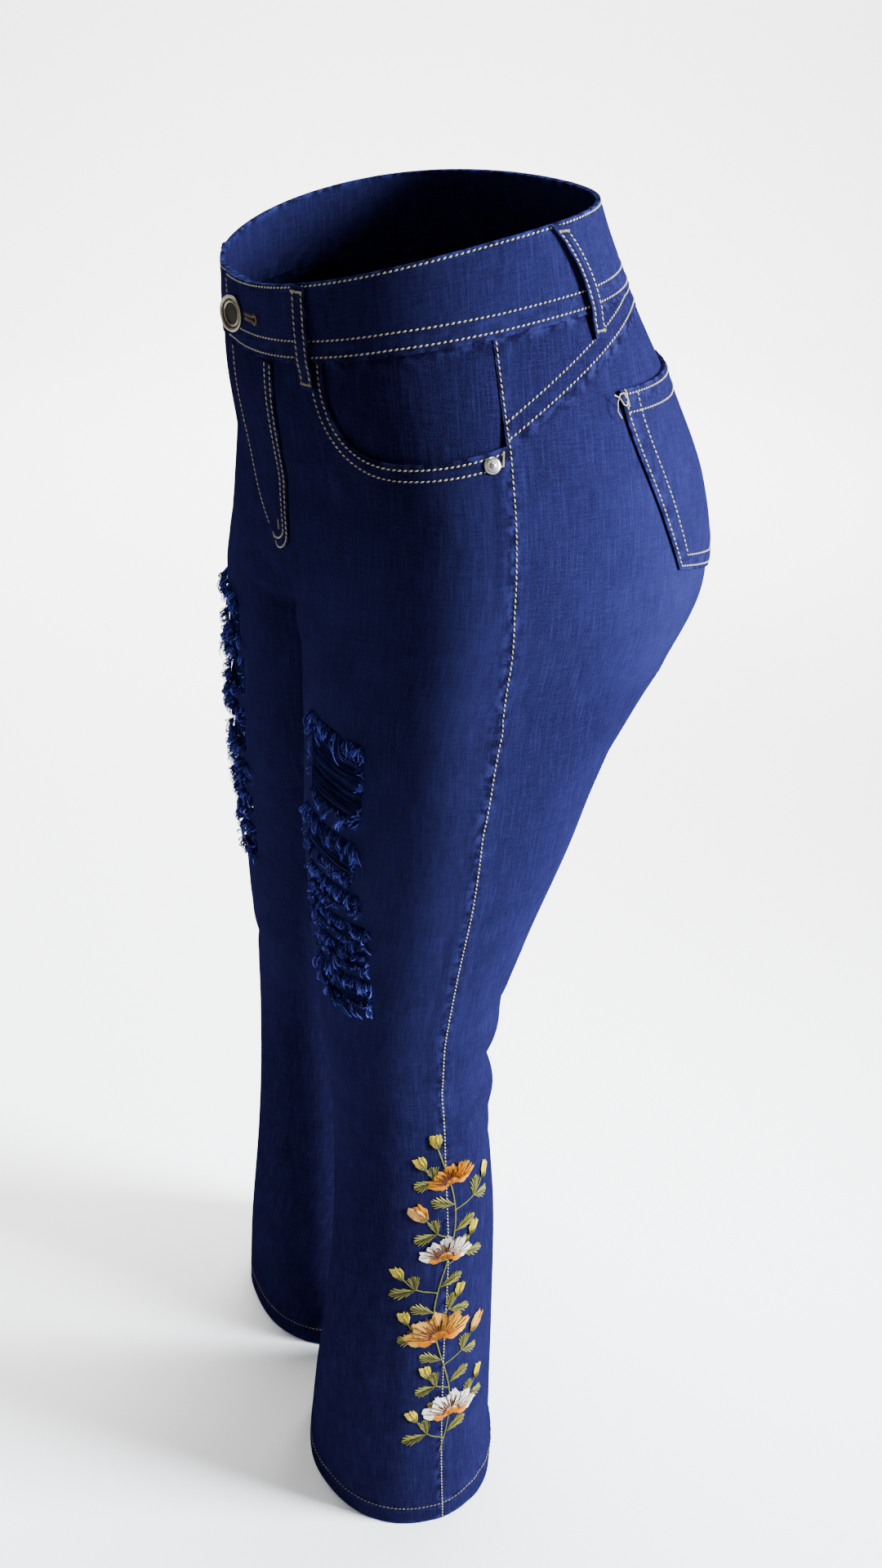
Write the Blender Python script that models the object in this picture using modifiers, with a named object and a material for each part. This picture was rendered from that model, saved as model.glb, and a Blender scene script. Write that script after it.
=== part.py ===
"""High-rise bootcut jeans, worn shape, cut and sewn from stretch denim.

Metres, +Z up. The origin is the middle of the waist, level with the top of the waistband at the side
seams. The wearer faces -Y, so the wearer's left is +X.
"""

import math
import random

import bmesh
import bpy
import numpy as np
from mathutils import Matrix, Vector

# Driving dimensions of the garment.
OUTSEAM = 1.04
CROTCH_Z = -0.268
CLOTH = 0.0013
# The gap at a seam, half of it with a little to spare for curved edges, and the gap under a patch.
SEAM_GAP = 0.0003
HALF_GAP = 0.0002
PATCH_GAP = 0.0007
HEM_TURN_UP = 0.018
HEM_LAYERS = 2
HEM_STEP = 0.0006

# The waistband is shaped: low in front and tall over the hips. turn is 0 at the front middle.
BAND_HEIGHTS = (
    # turn, height
    (0.00, 0.0415),
    (0.45, 0.0445),
    (0.70, 0.0465),
    (1.00, 0.0510),
    (1.30, 0.0525),
    (2.00, 0.0500),
)
BAND_WALL = 0.0026
BAND_PROUD = 0.0008
# How far the upper end runs past the front middle, and the lower end under it; the lower end sinks
# between these two turns.
BAND_LAP = 0.015
BAND_UNDERLAP = 0.020
UNDERLAP_SUNK = 0.07
UNDERLAP_RISEN = 0.17

FLY_WIDTH = 0.060
FLY_BOTTOM_Z = -0.210
FLY_CURVE = 0.024
FLY_LAP = 0.004
FLY_WALL = 0.0010

# A belt loop starts just under the band's top edge and ends below the band, where it lies on the panel.
LOOP_WIDTH = 0.0095
LOOP_WALL = 0.0016
LOOP_SLACK = 0.0022
LOOP_TOP = 0.0010
LOOP_TAIL = 0.0150
LOOP_SEAT = 0.004

BUTTON_RADIUS = 0.0110
BUTTON_HEIGHT = 0.0036
BUTTON_TURN = 0.045
BUTTON_DROP = 0.51
RIVET_RADIUS = 0.0050
RIVET_TURN = 0.955
RIVET_DROP = 0.0072
RIVET_LIFT = 0.0001

SHARP_ANGLE = 50

# The body's sections, a row for each height. reach is the half width to the side, inner the gap from the
# middle plane to the inseam, middle the depth of the widest point, front and back the depths from there.
SECTIONS = (
    # height, reach, inner, middle, front, back
    (0.060, 0.1320, 0.0000, -0.0020, 0.1170, 0.1000),
    (0.020, 0.1351, 0.0000, -0.0008, 0.1177, 0.1105),
    (-0.045, 0.1438, 0.0000, 0.0038, 0.1175, 0.1407),
    (-0.100, 0.1620, 0.0000, 0.0038, 0.1146, 0.1738),
    (-0.160, 0.1843, 0.0000, 0.0028, 0.1024, 0.2009),
    (-0.220, 0.1980, 0.0000, -0.0029, 0.0897, 0.1980),
    (-0.270, 0.1994, 0.0008, -0.0121, 0.0807, 0.1654),
    (-0.330, 0.1975, 0.0036, -0.0110, 0.0805, 0.1280),
    (-0.400, 0.1888, 0.0090, -0.0101, 0.0817, 0.1048),
    (-0.480, 0.1729, 0.0230, -0.0121, 0.0743, 0.0816),
    (-0.560, 0.1618, 0.0403, -0.0133, 0.0679, 0.0615),
    (-0.640, 0.1639, 0.0508, -0.0084, 0.0654, 0.0562),
    (-0.740, 0.1687, 0.0509, -0.0024, 0.0695, 0.0599),
    (-0.860, 0.1733, 0.0390, -0.0021, 0.0734, 0.0655),
    (-0.960, 0.1820, 0.0212, -0.0023, 0.0786, 0.0707),
    (-1.070, 0.1930, 0.0060, 0.0010, 0.0870, 0.0748),
)
ROUNDNESS = 2.15
# Where one tube becomes two: the height above the crotch at which the middle starts to sink in, and how
# suddenly it does so.
FORK_FRONT = (0.118, 1.15)
FORK_BACK = (0.150, 2.2)

# The waist dips in front and rises behind: height of the band's top edge by depth y.
WAIST_TILT = 0.2327
WAIST_SAG = -0.7692

# How far the side seam strays behind the widest point of the side.
SEAM_STRAY = (
    # height, stray
    (-0.040, -0.0055),
    (-0.075, -0.0030),
    (-0.110, 0.0),
    (-0.200, 0.0005),
    (-0.240, 0.0040),
    (-0.275, 0.0085),
    (-0.310, 0.0040),
    (-0.350, 0.0),
)

# The largest folds. leg is 1 left, -1 right and 0 both; turn is the place round the leg, 0 the front
# middle or inseam, 1 the widest point of the side, 2 the back middle or inseam; length and width are
# half sizes along and across the fold; slope is its rise towards the back; depth is negative for a trough.
FOLDS = (
    # leg, turn, height, length, width, slope, depth
    (0, 1.45, -0.582, 0.075, 0.012, 0.10, -0.0052),
    (0, 1.40, -0.555, 0.070, 0.015, 0.12, 0.0034),
    (0, 1.45, -0.613, 0.070, 0.016, 0.02, 0.0036),
    (1, 1.60, -0.640, 0.050, 0.010, -0.25, -0.0030),
    (-1, 1.55, -0.645, 0.055, 0.010, 0.20, -0.0030),
    (0, 1.62, -0.302, 0.060, 0.018, 0.16, -0.0024),
    (1, 0.45, -0.600, 0.060, 0.014, -0.16, -0.0026),
    (-1, 0.55, -0.610, 0.060, 0.014, 0.18, -0.0026),
    (1, 1.35, -0.985, 0.055, 0.012, 0.55, -0.0028),
    (1, 1.55, -1.010, 0.045, 0.010, 0.50, -0.0024),
    (-1, 1.40, -0.990, 0.055, 0.012, 0.45, -0.0028),
    (1, 0.50, -0.960, 0.022, 0.110, 0.00, 0.0035),
    (-1, 0.60, -0.960, 0.022, 0.110, 0.00, 0.0035),
    (0, 0.16, -0.238, 0.055, 0.010, 0.30, -0.0022),
)

# The front pocket's scooped mouth, in turns, and its depth below the waist seam.
SCOOP_START = 0.490
SCOOP_LOWEST = 0.690
SCOOP_DEPTH = 0.0485
SCOOP_POWER = 2.4
SCOOP_RISE = 0.0125
FACING_UNDER = 0.012
FACING_CORNER = 0.530
FACING_EDGE = 0.455
FACING_RAMP = 0.020
FACING_SINK = 0.0001

# The back yoke is tall at the side seam and short at the back middle.
YOKE_SIDE = 0.061
YOKE_MIDDLE_Z = -0.048
YOKE_REACH = 0.62
YOKE_POWER = 1.6

# The back pocket's four corners, in turns and heights, and its point in the middle of the bottom edge.
POCKET_TOP = (1.328, 1.862, -0.0855)
POCKET_BOTTOM = (1.421, 1.785, -0.1950)
POCKET_POINT = 0.0135

# Belt loops: name, leg, turn at the top and at the bottom.
LOOPS = (
    ("loop_front_left", 1, 0.414, 0.440),
    ("loop_front_right", -1, 0.414, 0.440),
    ("loop_side_left", 1, 1.232, 1.338),
    ("loop_side_right", -1, 1.232, 1.338),
    ("loop_back", 1, 2.000, 2.000),
)

# The tears of each leg: height of the upper and the lower edge, turn of the inner and the outer end.
TEARS = {
    "left": (
        (-0.294, -0.350, 0.490, 0.710),
        (-0.368, -0.394, 0.470, 0.700),
        (-0.409, -0.422, 0.500, 0.715),
        (-0.435, -0.448, 0.500, 0.735),
        (-0.458, -0.470, 0.540, 0.745),
        (-0.483, -0.504, 0.520, 0.755),
    ),
    "right": (
        (-0.286, -0.318, 0.490, 0.700),
        (-0.333, -0.362, 0.480, 0.720),
        (-0.378, -0.410, 0.500, 0.725),
        (-0.425, -0.439, 0.510, 0.725),
        (-0.454, -0.467, 0.520, 0.740),
        (-0.482, -0.505, 0.520, 0.745),
    ),
}
# A fray's strip lies a little above the torn edge, or, under the last tear, below it.
FRAY_LOCKS = 9
FRAY_STRIP = 0.0026
FRAY_WALL = 0.0010
FRAY_ABOVE = 0.0008
FRAY_BELOW = 0.0036
FRAY_INSET = 0.0006
FRAY_LINK = 0.0022
FRAY_LENGTH = 0.014
FRAY_LIFT = 0.0055

SIDES = {"left": 1, "right": -1}

SURFACE_TOP = 0.060
SURFACE_LOW = -1.068
SURFACE_STEP = 0.004
SURFACE_COLUMNS = 48
SURFACE_SAMPLES = 160


def smooth(x, table):
    """A smooth curve through a table whose first column falls, read at every x: all other columns."""
    rows = np.array(table)[::-1]
    knots, values = rows[:, 0], rows[:, 1:]
    slopes = np.gradient(values, knots, axis=0)
    below = np.clip(np.searchsorted(knots, x) - 1, 0, len(knots) - 2)
    step = (knots[below + 1] - knots[below])[:, None]
    f = (x - knots[below])[:, None] / step
    start, end = values[below], values[below + 1]
    leave, arrive = step * slopes[below], step * slopes[below + 1]
    return (
        (1 + 2 * f) * (1 - f) ** 2 * start
        + f * (1 - f) ** 2 * leave
        + f * f * (3 - 2 * f) * end
        + f * f * (f - 1) * arrive
    )


def quarter_sections(heights, sections, depth, fork, facing):
    """One quarter of every section, from the middle plane or the inseam out to the widest point."""
    reach, inner, middle = (sections[:, k, None] for k in range(3))
    drop, power = fork
    split = np.clip((CROTCH_Z + drop - heights) / drop, 0, 1)[:, None] ** power
    on_leg = (heights <= CROTCH_Z)[:, None]
    half = np.where(on_leg, (reach - inner) / 2, reach / (1 + split))
    centre = reach - half
    inward = np.arcsin(np.clip(centre / half, 0, 1) ** (ROUNDNESS / 2))
    start = np.where(on_leg, -math.pi / 2, -inward)
    angle = start + (math.pi / 2 - start) * np.linspace(0, 1, SURFACE_SAMPLES)
    sine = np.sign(np.sin(angle)) * np.abs(np.sin(angle)) ** (2 / ROUNDNESS)
    cosine = np.abs(np.cos(angle)) ** (2 / ROUNDNESS)
    x = centre + half * sine
    y = middle + facing * depth[:, None] * cosine
    z = np.broadcast_to(heights[:, None], x.shape)
    return np.stack([x, y, z], -1)


def spaced_evenly(rows, count):
    """Each row of points read again at even steps along it, and each row's length."""
    steps = np.linalg.norm(np.diff(rows, axis=1), axis=-1)
    lengths = np.concatenate([np.zeros((len(rows), 1)), np.cumsum(steps, axis=1)], 1)
    even = np.linspace(0, 1, count)
    read = [
        np.stack([np.interp(even * along[-1], along, row[:, k]) for k in range(3)], -1)
        for row, along in zip(rows, lengths)
    ]
    return np.array(read), lengths[:, -1]


def outward(points):
    """The unit normal at each point of a grid whose rows go down and whose columns go front to back."""
    across = np.gradient(points, axis=1)
    down = np.gradient(points, axis=0)
    normal = np.cross(down, across)
    return normal / np.linalg.norm(normal, axis=-1, keepdims=True)


HEIGHTS = np.arange(SURFACE_TOP, SURFACE_LOW, -SURFACE_STEP)
TURNS = np.linspace(0, 2, 2 * SURFACE_COLUMNS + 1)


def half_body():
    """The left half of the smooth body as a grid of points, and the lengths of its quarters."""
    sections = smooth(HEIGHTS, SECTIONS)
    front = quarter_sections(HEIGHTS, sections, sections[:, 3], FORK_FRONT, -1)
    back = quarter_sections(HEIGHTS, sections, sections[:, 4], FORK_BACK, 1)
    front, front_length = spaced_evenly(front, SURFACE_COLUMNS + 1)
    back, back_length = spaced_evenly(back, SURFACE_COLUMNS + 1)
    return np.concatenate([front, back[:, ::-1][:, 1:]], 1), front_length, back_length


BODY, FRONT_LENGTHS, BACK_LENGTHS = half_body()


def front_length(z):
    return np.interp(-np.asarray(z), -HEIGHTS, FRONT_LENGTHS)


def back_length(z):
    return np.interp(-np.asarray(z), -HEIGHTS, BACK_LENGTHS)


def folded(leg):
    """The body's grid with the folds of one leg pressed into it."""
    turn, z = np.meshgrid(TURNS, HEIGHTS)
    quarter = np.where(turn < 1, front_length(z), back_length(z))
    push = np.zeros_like(z)
    for which, fold_turn, height, length, width, slope, depth in FOLDS:
        if which in (0, leg):
            along = (turn - fold_turn) * quarter
            off = z - height - slope * along
            push += depth * np.exp(-((along / length) ** 2) - (off / width) ** 2)
    return BODY + push[..., None] * outward(BODY)


SURFACES = {leg: folded(leg) for leg in (1, -1)}
NORMALS = {leg: outward(surface) for leg, surface in SURFACES.items()}


def read_grid(grid, turn, z):
    """A grid over turns and heights, read between its points."""
    column = np.clip(turn / 2, 0, 1) * (grid.shape[1] - 1)
    row = np.clip((HEIGHTS[0] - z) / SURFACE_STEP, 0, len(HEIGHTS) - 1.001)
    left = np.minimum(column.astype(int), grid.shape[1] - 2)
    top = row.astype(int)
    f, g = (column - left)[..., None], (row - top)[..., None]
    upper = grid[top, left] * (1 - f) + grid[top, left + 1] * f
    lower = grid[top + 1, left] * (1 - f) + grid[top + 1, left + 1] * f
    return upper * (1 - g) + lower * g


def skin(leg, turn, z, out=0.0):
    """Points on the garment's outer face, moved out along the normal by out.

    Past the front or back middle, where turn is under 0 or over 2, the cloth carries on over the other leg.
    """
    turn, z, out = np.broadcast_arrays(np.asarray(turn, float), np.asarray(z, float), out)
    over = (turn < 0) | (turn > 2)
    turn = on_one_leg(turn)
    points = np.empty(turn.shape + (3,))
    for half in (1, -1):
        here = np.where(over, -leg, leg) == half
        spot = read_grid(SURFACES[half], turn[here], z[here])
        normal = read_grid(NORMALS[half], turn[here], z[here])
        normal /= np.linalg.norm(normal, axis=-1, keepdims=True)
        spot = spot + normal * out[here][:, None]
        spot[:, 0] += HALF_GAP
        points[here] = spot * (half, 1, 1)
    return points


def on_one_leg(turn):
    """Turns past the front or back middle, brought back as turns on the leg they reach."""
    turn = np.asarray(turn, float)
    return np.where(turn < 0, -turn, np.where(turn > 2, 4 - turn, turn))


def waist_z(turn):
    """The height of the waistband's top edge at each turn."""
    turn = on_one_leg(turn)
    y = read_grid(BODY, turn, np.zeros_like(turn))[..., 1]
    return WAIST_TILT * y + WAIST_SAG * y * y


def band_height(turn):
    turns, heights = zip(*BAND_HEIGHTS)
    return np.interp(on_one_leg(turn), turns, heights)


def seam_z(turn):
    """The height of the seam under the waistband."""
    return waist_z(turn) - band_height(turn)


def scoop_z(turn):
    """The edge of the front pocket's mouth, a quarter curve down from the waist and then a slow rise."""
    turn = np.asarray(turn, float)
    start = seam_z(SCOOP_START)
    near = np.clip((SCOOP_LOWEST - turn) / (SCOOP_LOWEST - SCOOP_START), 0, 1)
    fall = (1 - near**SCOOP_POWER) ** (1 / SCOOP_POWER)
    far = np.clip((turn - SCOOP_LOWEST) / (1 - SCOOP_LOWEST), 0, 1)
    return start - SCOOP_DEPTH * fall + SCOOP_RISE * far**1.5


def yoke_z(turn):
    """The yoke's lower edge."""
    far = np.clip((np.asarray(turn, float) - 1) / YOKE_REACH, 0, 1)
    return YOKE_MIDDLE_Z - YOKE_SIDE * (1 - far) ** YOKE_POWER


def side_turn(z):
    """The turn at which the side seam lies."""
    heights, strays = zip(*SEAM_STRAY)
    stray = np.interp(-np.asarray(z), [-height for height in heights], strays)
    length = np.where(stray < 0, front_length(z), back_length(z))
    return 1 + stray / length


def front_place(share, z):
    """The turn of a place that lies this share of the way from the front middle to the side seam."""
    return share * side_turn(z)


def back_place(share, z):
    """The turn of a place that lies this share of the way from the side seam to the back middle."""
    start = side_turn(z)
    return start + share * (2 - start)


def under_band(place, share):
    """The height of a panel's top edge, just clear of the waistband."""
    nearly = seam_z(place(share, seam_z(1)))
    return seam_z(place(share, nearly)) - SEAM_GAP


def material(name, colour, roughness, metallic=0.0):
    made = bpy.data.materials.new(name)
    made.use_nodes = True
    shader = made.node_tree.nodes["Principled BSDF"]
    shader.inputs["Base Color"].default_value = (*colour, 1)
    shader.inputs["Roughness"].default_value = roughness
    shader.inputs["Metallic"].default_value = metallic
    return made


def add_object(name, mesh, finish):
    mesh.materials.append(finish)
    piece = bpy.data.objects.new(name, mesh)
    bpy.data.collections["jeans"].objects.link(piece)
    return piece


def cloth_wall(name, outer, inner, finish, keep=None):
    """A closed wall of cloth between two grids of points, with a rim round its edge and each hole."""
    rows, columns = outer.shape[:2]
    form = bmesh.new()
    place = form.verts.layers.int.new("place")
    corners = {}
    for r in range(rows - 1):
        for c in range(columns - 1):
            if keep is not None and not keep[r, c]:
                continue
            for at in ((r, c), (r + 1, c), (r + 1, c + 1), (r, c + 1)):
                if at not in corners:
                    corners[at] = form.verts.new(outer[at])
                    corners[at][place] = at[0] * columns + at[1]
            form.faces.new([corners[at] for at in ((r, c), (r + 1, c), (r + 1, c + 1), (r, c + 1))])
    made = bmesh.ops.extrude_face_region(form, geom=form.faces[:])
    flat_inner = inner.reshape(-1, 3)
    for vert in made["geom"]:
        if isinstance(vert, bmesh.types.BMVert):
            vert.co = flat_inner[vert[place]]
    bmesh.ops.recalc_face_normals(form, faces=form.faces[:])
    mesh = bpy.data.meshes.new(name)
    form.to_mesh(mesh)
    form.free()
    mesh.shade_smooth()
    mesh.set_sharp_from_angle(angle=math.radians(SHARP_ANGLE))
    return add_object(name, mesh, finish)


def panel(name, leg, turn, z, finish, wall=CLOTH, out=0.0, keep=None):
    """A wall of cloth whose outer face lies out from the skin at each turn and height."""
    return cloth_wall(name, skin(leg, turn, z, out), skin(leg, turn, z, out - wall), finish, keep)


# Columns of a front panel, as shares of its width: at the pocket, and at the tears, whose own ends take
# the place of the shares from FIRST_TORN to LAST_TORN.
COLUMNS_AT_POCKET = (0, 0.10, 0.20, 0.30, 0.40, 0.49, 0.50, 0.535, 0.60, 0.69, 0.79, 0.895, 1)
COLUMNS_AT_TEARS = (0, 0.10, 0.20, 0.30, 0.39, 0.45, 0.50, 0.555, 0.61, 0.665, 0.72, 0.86, 1)
FIRST_TORN, LAST_TORN = 6, 10
POCKET_ROWS_END = -0.140
TEAR_ROWS_START = -0.262
ROWS_BEFORE_TEARS = (-0.160, -0.182, -0.205, -0.222, -0.237, -0.249, -0.258, -0.264, CROTCH_Z, -0.278)
ROWS_AFTER_TEARS = (
    (-0.530, -0.550, -0.567, -0.582, -0.597, -0.613, -0.635, -0.690, -0.770, -0.850, -0.920, -0.965)
    + (-0.995, HEM_TURN_UP - OUTSEAM, HEM_TURN_UP - OUTSEAM - HEM_STEP, -OUTSEAM)
)
COLUMNS_OF_BACK = (0, 0.09, 0.20, 0.32, 0.44, 0.56, 0.68, 0.80, 0.91, 1)
TOP_BLOCK = (0.0, 0.25, 0.6, 1.0)


def front_turns(z, tears):
    """The turns of a front panel's columns at one height."""
    down = np.clip((POCKET_ROWS_END - z) / (POCKET_ROWS_END - TEAR_ROWS_START), 0, 1)
    shares = np.array(COLUMNS_AT_POCKET) * (1 - down) + np.array(COLUMNS_AT_TEARS) * down
    if down == 1:
        edges = [edge for tear in tears for edge in tear[:2]]
        starts = np.interp(-z, [-edge for edge in edges], np.repeat([tear[2] for tear in tears], 2))
        ends = np.interp(-z, [-edge for edge in edges], np.repeat([tear[3] for tear in tears], 2))
        torn = np.linspace(starts, ends, LAST_TORN - FIRST_TORN + 1)
        shares[FIRST_TORN : LAST_TORN + 1] = torn
    return shares


def trim(turns, z):
    """Moves the two ends of a row of turns in by half the seam gap."""
    length = np.where(turns[..., -1] > 1.5, back_length(z[..., -1]), front_length(z[..., -1]))
    turns[..., 0] += HALF_GAP / length
    turns[..., -1] -= HALF_GAP / length
    return turns


def leg_rows(side):
    """The heights of a leg's rows, the same on its front and its back panel, so that their edges match."""
    tear_rows = [edge for tear in TEARS[side] for edge in tear[:2]]
    return sorted((*ROWS_BEFORE_TEARS, *tear_rows, *ROWS_AFTER_TEARS), reverse=True)


def hem_wall(z):
    """The cloth's thickness at each height: the hem is turned up."""
    return np.where(z < HEM_TURN_UP - OUTSEAM - HEM_STEP / 2, HEM_LAYERS * CLOTH, CLOTH)


def leg_panel(name, leg, turns, z, finish, keep=None):
    outer = skin(leg, turns, z)
    inner = skin(leg, turns, z, -hem_wall(z))
    return cloth_wall(name, outer, inner, finish, keep)


def front_panel(side, leg, finish):
    """From the waist, cut away at the pocket's mouth, down to the hem, with the tears cut through."""
    tears = TEARS[side]
    rows = leg_rows(side)
    shares = np.array(COLUMNS_AT_POCKET)
    edge = np.where(shares <= SCOOP_START, under_band(front_place, shares), scoop_z(shares) - SEAM_GAP)
    top = [edge * (1 - part) + POCKET_ROWS_END * part for part in TOP_BLOCK]
    z = np.array(top + [np.full(len(shares), row) for row in rows])
    turns = np.array([shares] * len(top) + [front_turns(row, tears) for row in rows])
    turns = trim(front_place(turns, z), z)
    keep = np.ones((len(z) - 1, len(shares) - 1), bool)
    for upper, lower, _, _ in tears:
        first = len(top) + rows.index(upper)
        last = len(top) + rows.index(lower)
        keep[first:last, FIRST_TORN:LAST_TORN] = False
    return leg_panel(f"front_{side}", leg, turns, z, finish, keep)


def back_panel(side, leg, finish):
    """From the yoke down to the hem."""
    shares = np.array(COLUMNS_OF_BACK)
    edge = yoke_z(1 + shares) - SEAM_GAP
    top = [edge * (1 - part) + POCKET_ROWS_END * part for part in TOP_BLOCK]
    rows = leg_rows(side)
    z = np.array(top + [np.full(len(shares), row) for row in rows])
    turns = trim(back_place(shares, z), z)
    return leg_panel(f"back_{side}", leg, turns, z, finish)


def yoke(side, leg, finish):
    shares = np.array(COLUMNS_OF_BACK)
    upper = under_band(back_place, shares)
    lower = yoke_z(1 + shares)
    z = upper + (lower - upper) * np.linspace(0, 1, 4)[:, None]
    return panel(f"yoke_{side}", leg, trim(back_place(shares, z), z), z, finish)


def pocket_facing(side, leg, finish):
    """The cloth seen in the pocket's mouth. It runs on under the front panel, sunk to pass below it."""
    share = np.array((FACING_EDGE, *COLUMNS_AT_POCKET[COLUMNS_AT_POCKET.index(SCOOP_START) :]))
    upper = under_band(front_place, share)
    lower = scoop_z(np.maximum(share, FACING_CORNER)) - FACING_UNDER
    z = upper + (lower - upper) * np.linspace(0, 1, 6)[:, None]
    into_mouth = np.minimum(z - scoop_z(share), (share - SCOOP_START) * front_length(z))
    risen = np.clip(into_mouth / FACING_RAMP, 0, 1)
    sunk = -(CLOTH + PATCH_GAP) * (1 - risen) - FACING_SINK
    turns = trim(front_place(share, z), z)
    return panel(f"pocket_facing_{side}", leg, turns, z, finish, out=sunk)


def waistband(finish):
    """One strip round the waist. Its left end laps over its right end at the front middle."""
    end = 4 + BAND_LAP / front_length(0)
    start = -BAND_UNDERLAP / front_length(0)
    path = np.concatenate([np.linspace(start, 0.2, 6)[:-1], np.linspace(0.2, end, 46)])
    leg = np.where(path < 2, -1, 1)
    turn = np.where(path < 2, path, 4 - path)
    height = waist_z(turn)
    z = height - band_height(turn) * np.linspace(0, 1, 4)[:, None]
    turns = np.broadcast_to(turn, z.shape)
    under = 1 - np.clip((path - UNDERLAP_SUNK) / (UNDERLAP_RISEN - UNDERLAP_SUNK), 0, 1)
    out = BAND_PROUD - (BAND_WALL + 2 * SEAM_GAP) * under
    grids = []
    for lift in (out, out - BAND_WALL):
        right = skin(-1, turns, z, lift)
        left = skin(1, turns, z, lift)
        grids.append(np.where((leg == 1)[None, :, None], left, right))
    return cloth_wall("waistband", grids[0], grids[1], finish)


def fly(finish):
    """The left front's fly, with its curved lower end, lying over the front middle."""
    straight = np.linspace(seam_z(0) - SEAM_GAP, FLY_BOTTOM_Z + FLY_CURVE, 6)
    curved = FLY_BOTTOM_Z + FLY_CURVE * (1 - np.sin(np.linspace(0, math.pi / 2, 7)[1:]))
    z = np.concatenate([straight, curved])[:, None]
    low = np.clip((FLY_BOTTOM_Z + FLY_CURVE - z) / FLY_CURVE, 0, 1)
    width = np.maximum(FLY_WIDTH * np.sqrt(1 - low**2), FLY_LAP)
    reach = -FLY_LAP + (width + FLY_LAP) * np.linspace(0, 1, 8)
    z = np.broadcast_to(z, reach.shape)
    turns = reach / front_length(z)
    return panel("fly", 1, turns, z, finish, wall=FLY_WALL, out=FLY_WALL + PATCH_GAP)


def back_pocket(side, leg, finish):
    across = np.linspace(0, 1, 11)
    down = np.linspace(0, 1, 6)[:, None]
    left = POCKET_TOP[0] + (POCKET_BOTTOM[0] - POCKET_TOP[0]) * down**1.5
    right = POCKET_TOP[1] + (POCKET_BOTTOM[1] - POCKET_TOP[1]) * down
    turns = left + (right - left) * across
    bottom = POCKET_BOTTOM[2] - POCKET_POINT * (1 - np.abs(2 * across - 1))
    z = POCKET_TOP[2] + (bottom - POCKET_TOP[2]) * down
    return panel(f"back_pocket_{side}", leg, turns, z, finish, out=CLOTH + PATCH_GAP)


def belt_loop(name, leg, top_turn, bottom_turn, finish):
    """A narrow strip over the waistband, sewn down at its ends and standing off a little between them."""
    down = np.linspace(0, 1, 11)[:, None]
    middle = top_turn + (bottom_turn - top_turn) * down
    upper = waist_z(top_turn) - LOOP_TOP
    lower = seam_z(bottom_turn) - LOOP_TAIL
    z = upper + (lower - upper) * down
    length = np.where(middle < 1, front_length(z), back_length(z))
    turns = middle + np.linspace(-0.5, 0.5, 3) * LOOP_WIDTH / length
    z = np.broadcast_to(z, turns.shape)
    standing = LOOP_SLACK * np.sin(math.pi * down) ** 0.8
    seat = BAND_PROUD * np.clip((z - seam_z(turns) + LOOP_SEAT) / LOOP_SEAT, 0, 1)
    out = seat + PATCH_GAP + standing + LOOP_WALL
    return panel(name, leg, turns, z, finish, wall=LOOP_WALL, out=out)


def turned(name, profile, place, direction, finish, steps):
    """A turned piece of metal on the cloth, its profile given as radius and height from the axis up."""
    mesh = bpy.data.meshes.new(name)
    edges = [(k, k + 1) for k in range(len(profile) - 1)]
    mesh.from_pydata([(radius, 0, height) for radius, height in profile], edges, [])
    piece = add_object(name, mesh, finish)
    screw = piece.modifiers.new("turn", "SCREW")
    screw.axis = "Z"
    screw.steps = steps
    screw.render_steps = steps
    screw.use_merge_vertices = True
    screw.merge_threshold = 0.00001
    screw.use_smooth_shade = True
    screw.use_normal_calculate = True
    piece.matrix_world = Matrix.Translation(place) @ direction.to_track_quat("Z", "Y").to_matrix().to_4x4()
    return piece


def on_cloth(leg, turn, z, lift):
    """A place on the cloth and the direction that faces away from it."""
    low = Vector(skin(leg, turn, z, lift))
    return low, (Vector(skin(leg, turn, z, lift + 0.01)) - low).normalized()


def button(finish):
    """A jeans button: a rimmed disc with a sunk middle."""
    r, h = BUTTON_RADIUS, BUTTON_HEIGHT
    profile = (
        (0, h * 0.62),
        (r * 0.42, h * 0.62),
        (r * 0.50, h * 0.86),
        (r * 0.66, h * 0.80),
        (r * 0.84, h),
        (r * 0.97, h * 0.78),
        (r, h * 0.45),
        (r * 0.90, h * 0.20),
        (r * 0.45, 0),
        (0, 0),
    )
    z = float(waist_z(BUTTON_TURN) - BUTTON_DROP * band_height(BUTTON_TURN))
    place, direction = on_cloth(1, BUTTON_TURN, z, BAND_PROUD + 2 * SEAM_GAP)
    return turned("button", profile, place, direction, finish, steps=20)


def rivet(side, leg, finish):
    """A flat washer with a domed middle, at the side end of the pocket's mouth."""
    r = RIVET_RADIUS
    profile = (
        (0, 0.0022),
        (r * 0.25, 0.0021),
        (r * 0.42, 0.0015),
        (r * 0.48, 0.0010),
        (r * 0.88, 0.0010),
        (r, 0.0006),
        (r * 0.96, 0),
        (0, 0),
    )
    place, direction = on_cloth(leg, RIVET_TURN, float(scoop_z(RIVET_TURN)) - RIVET_DROP, RIVET_LIFT)
    return turned(f"rivet_{side}", profile, place, direction, finish, steps=12)


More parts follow.
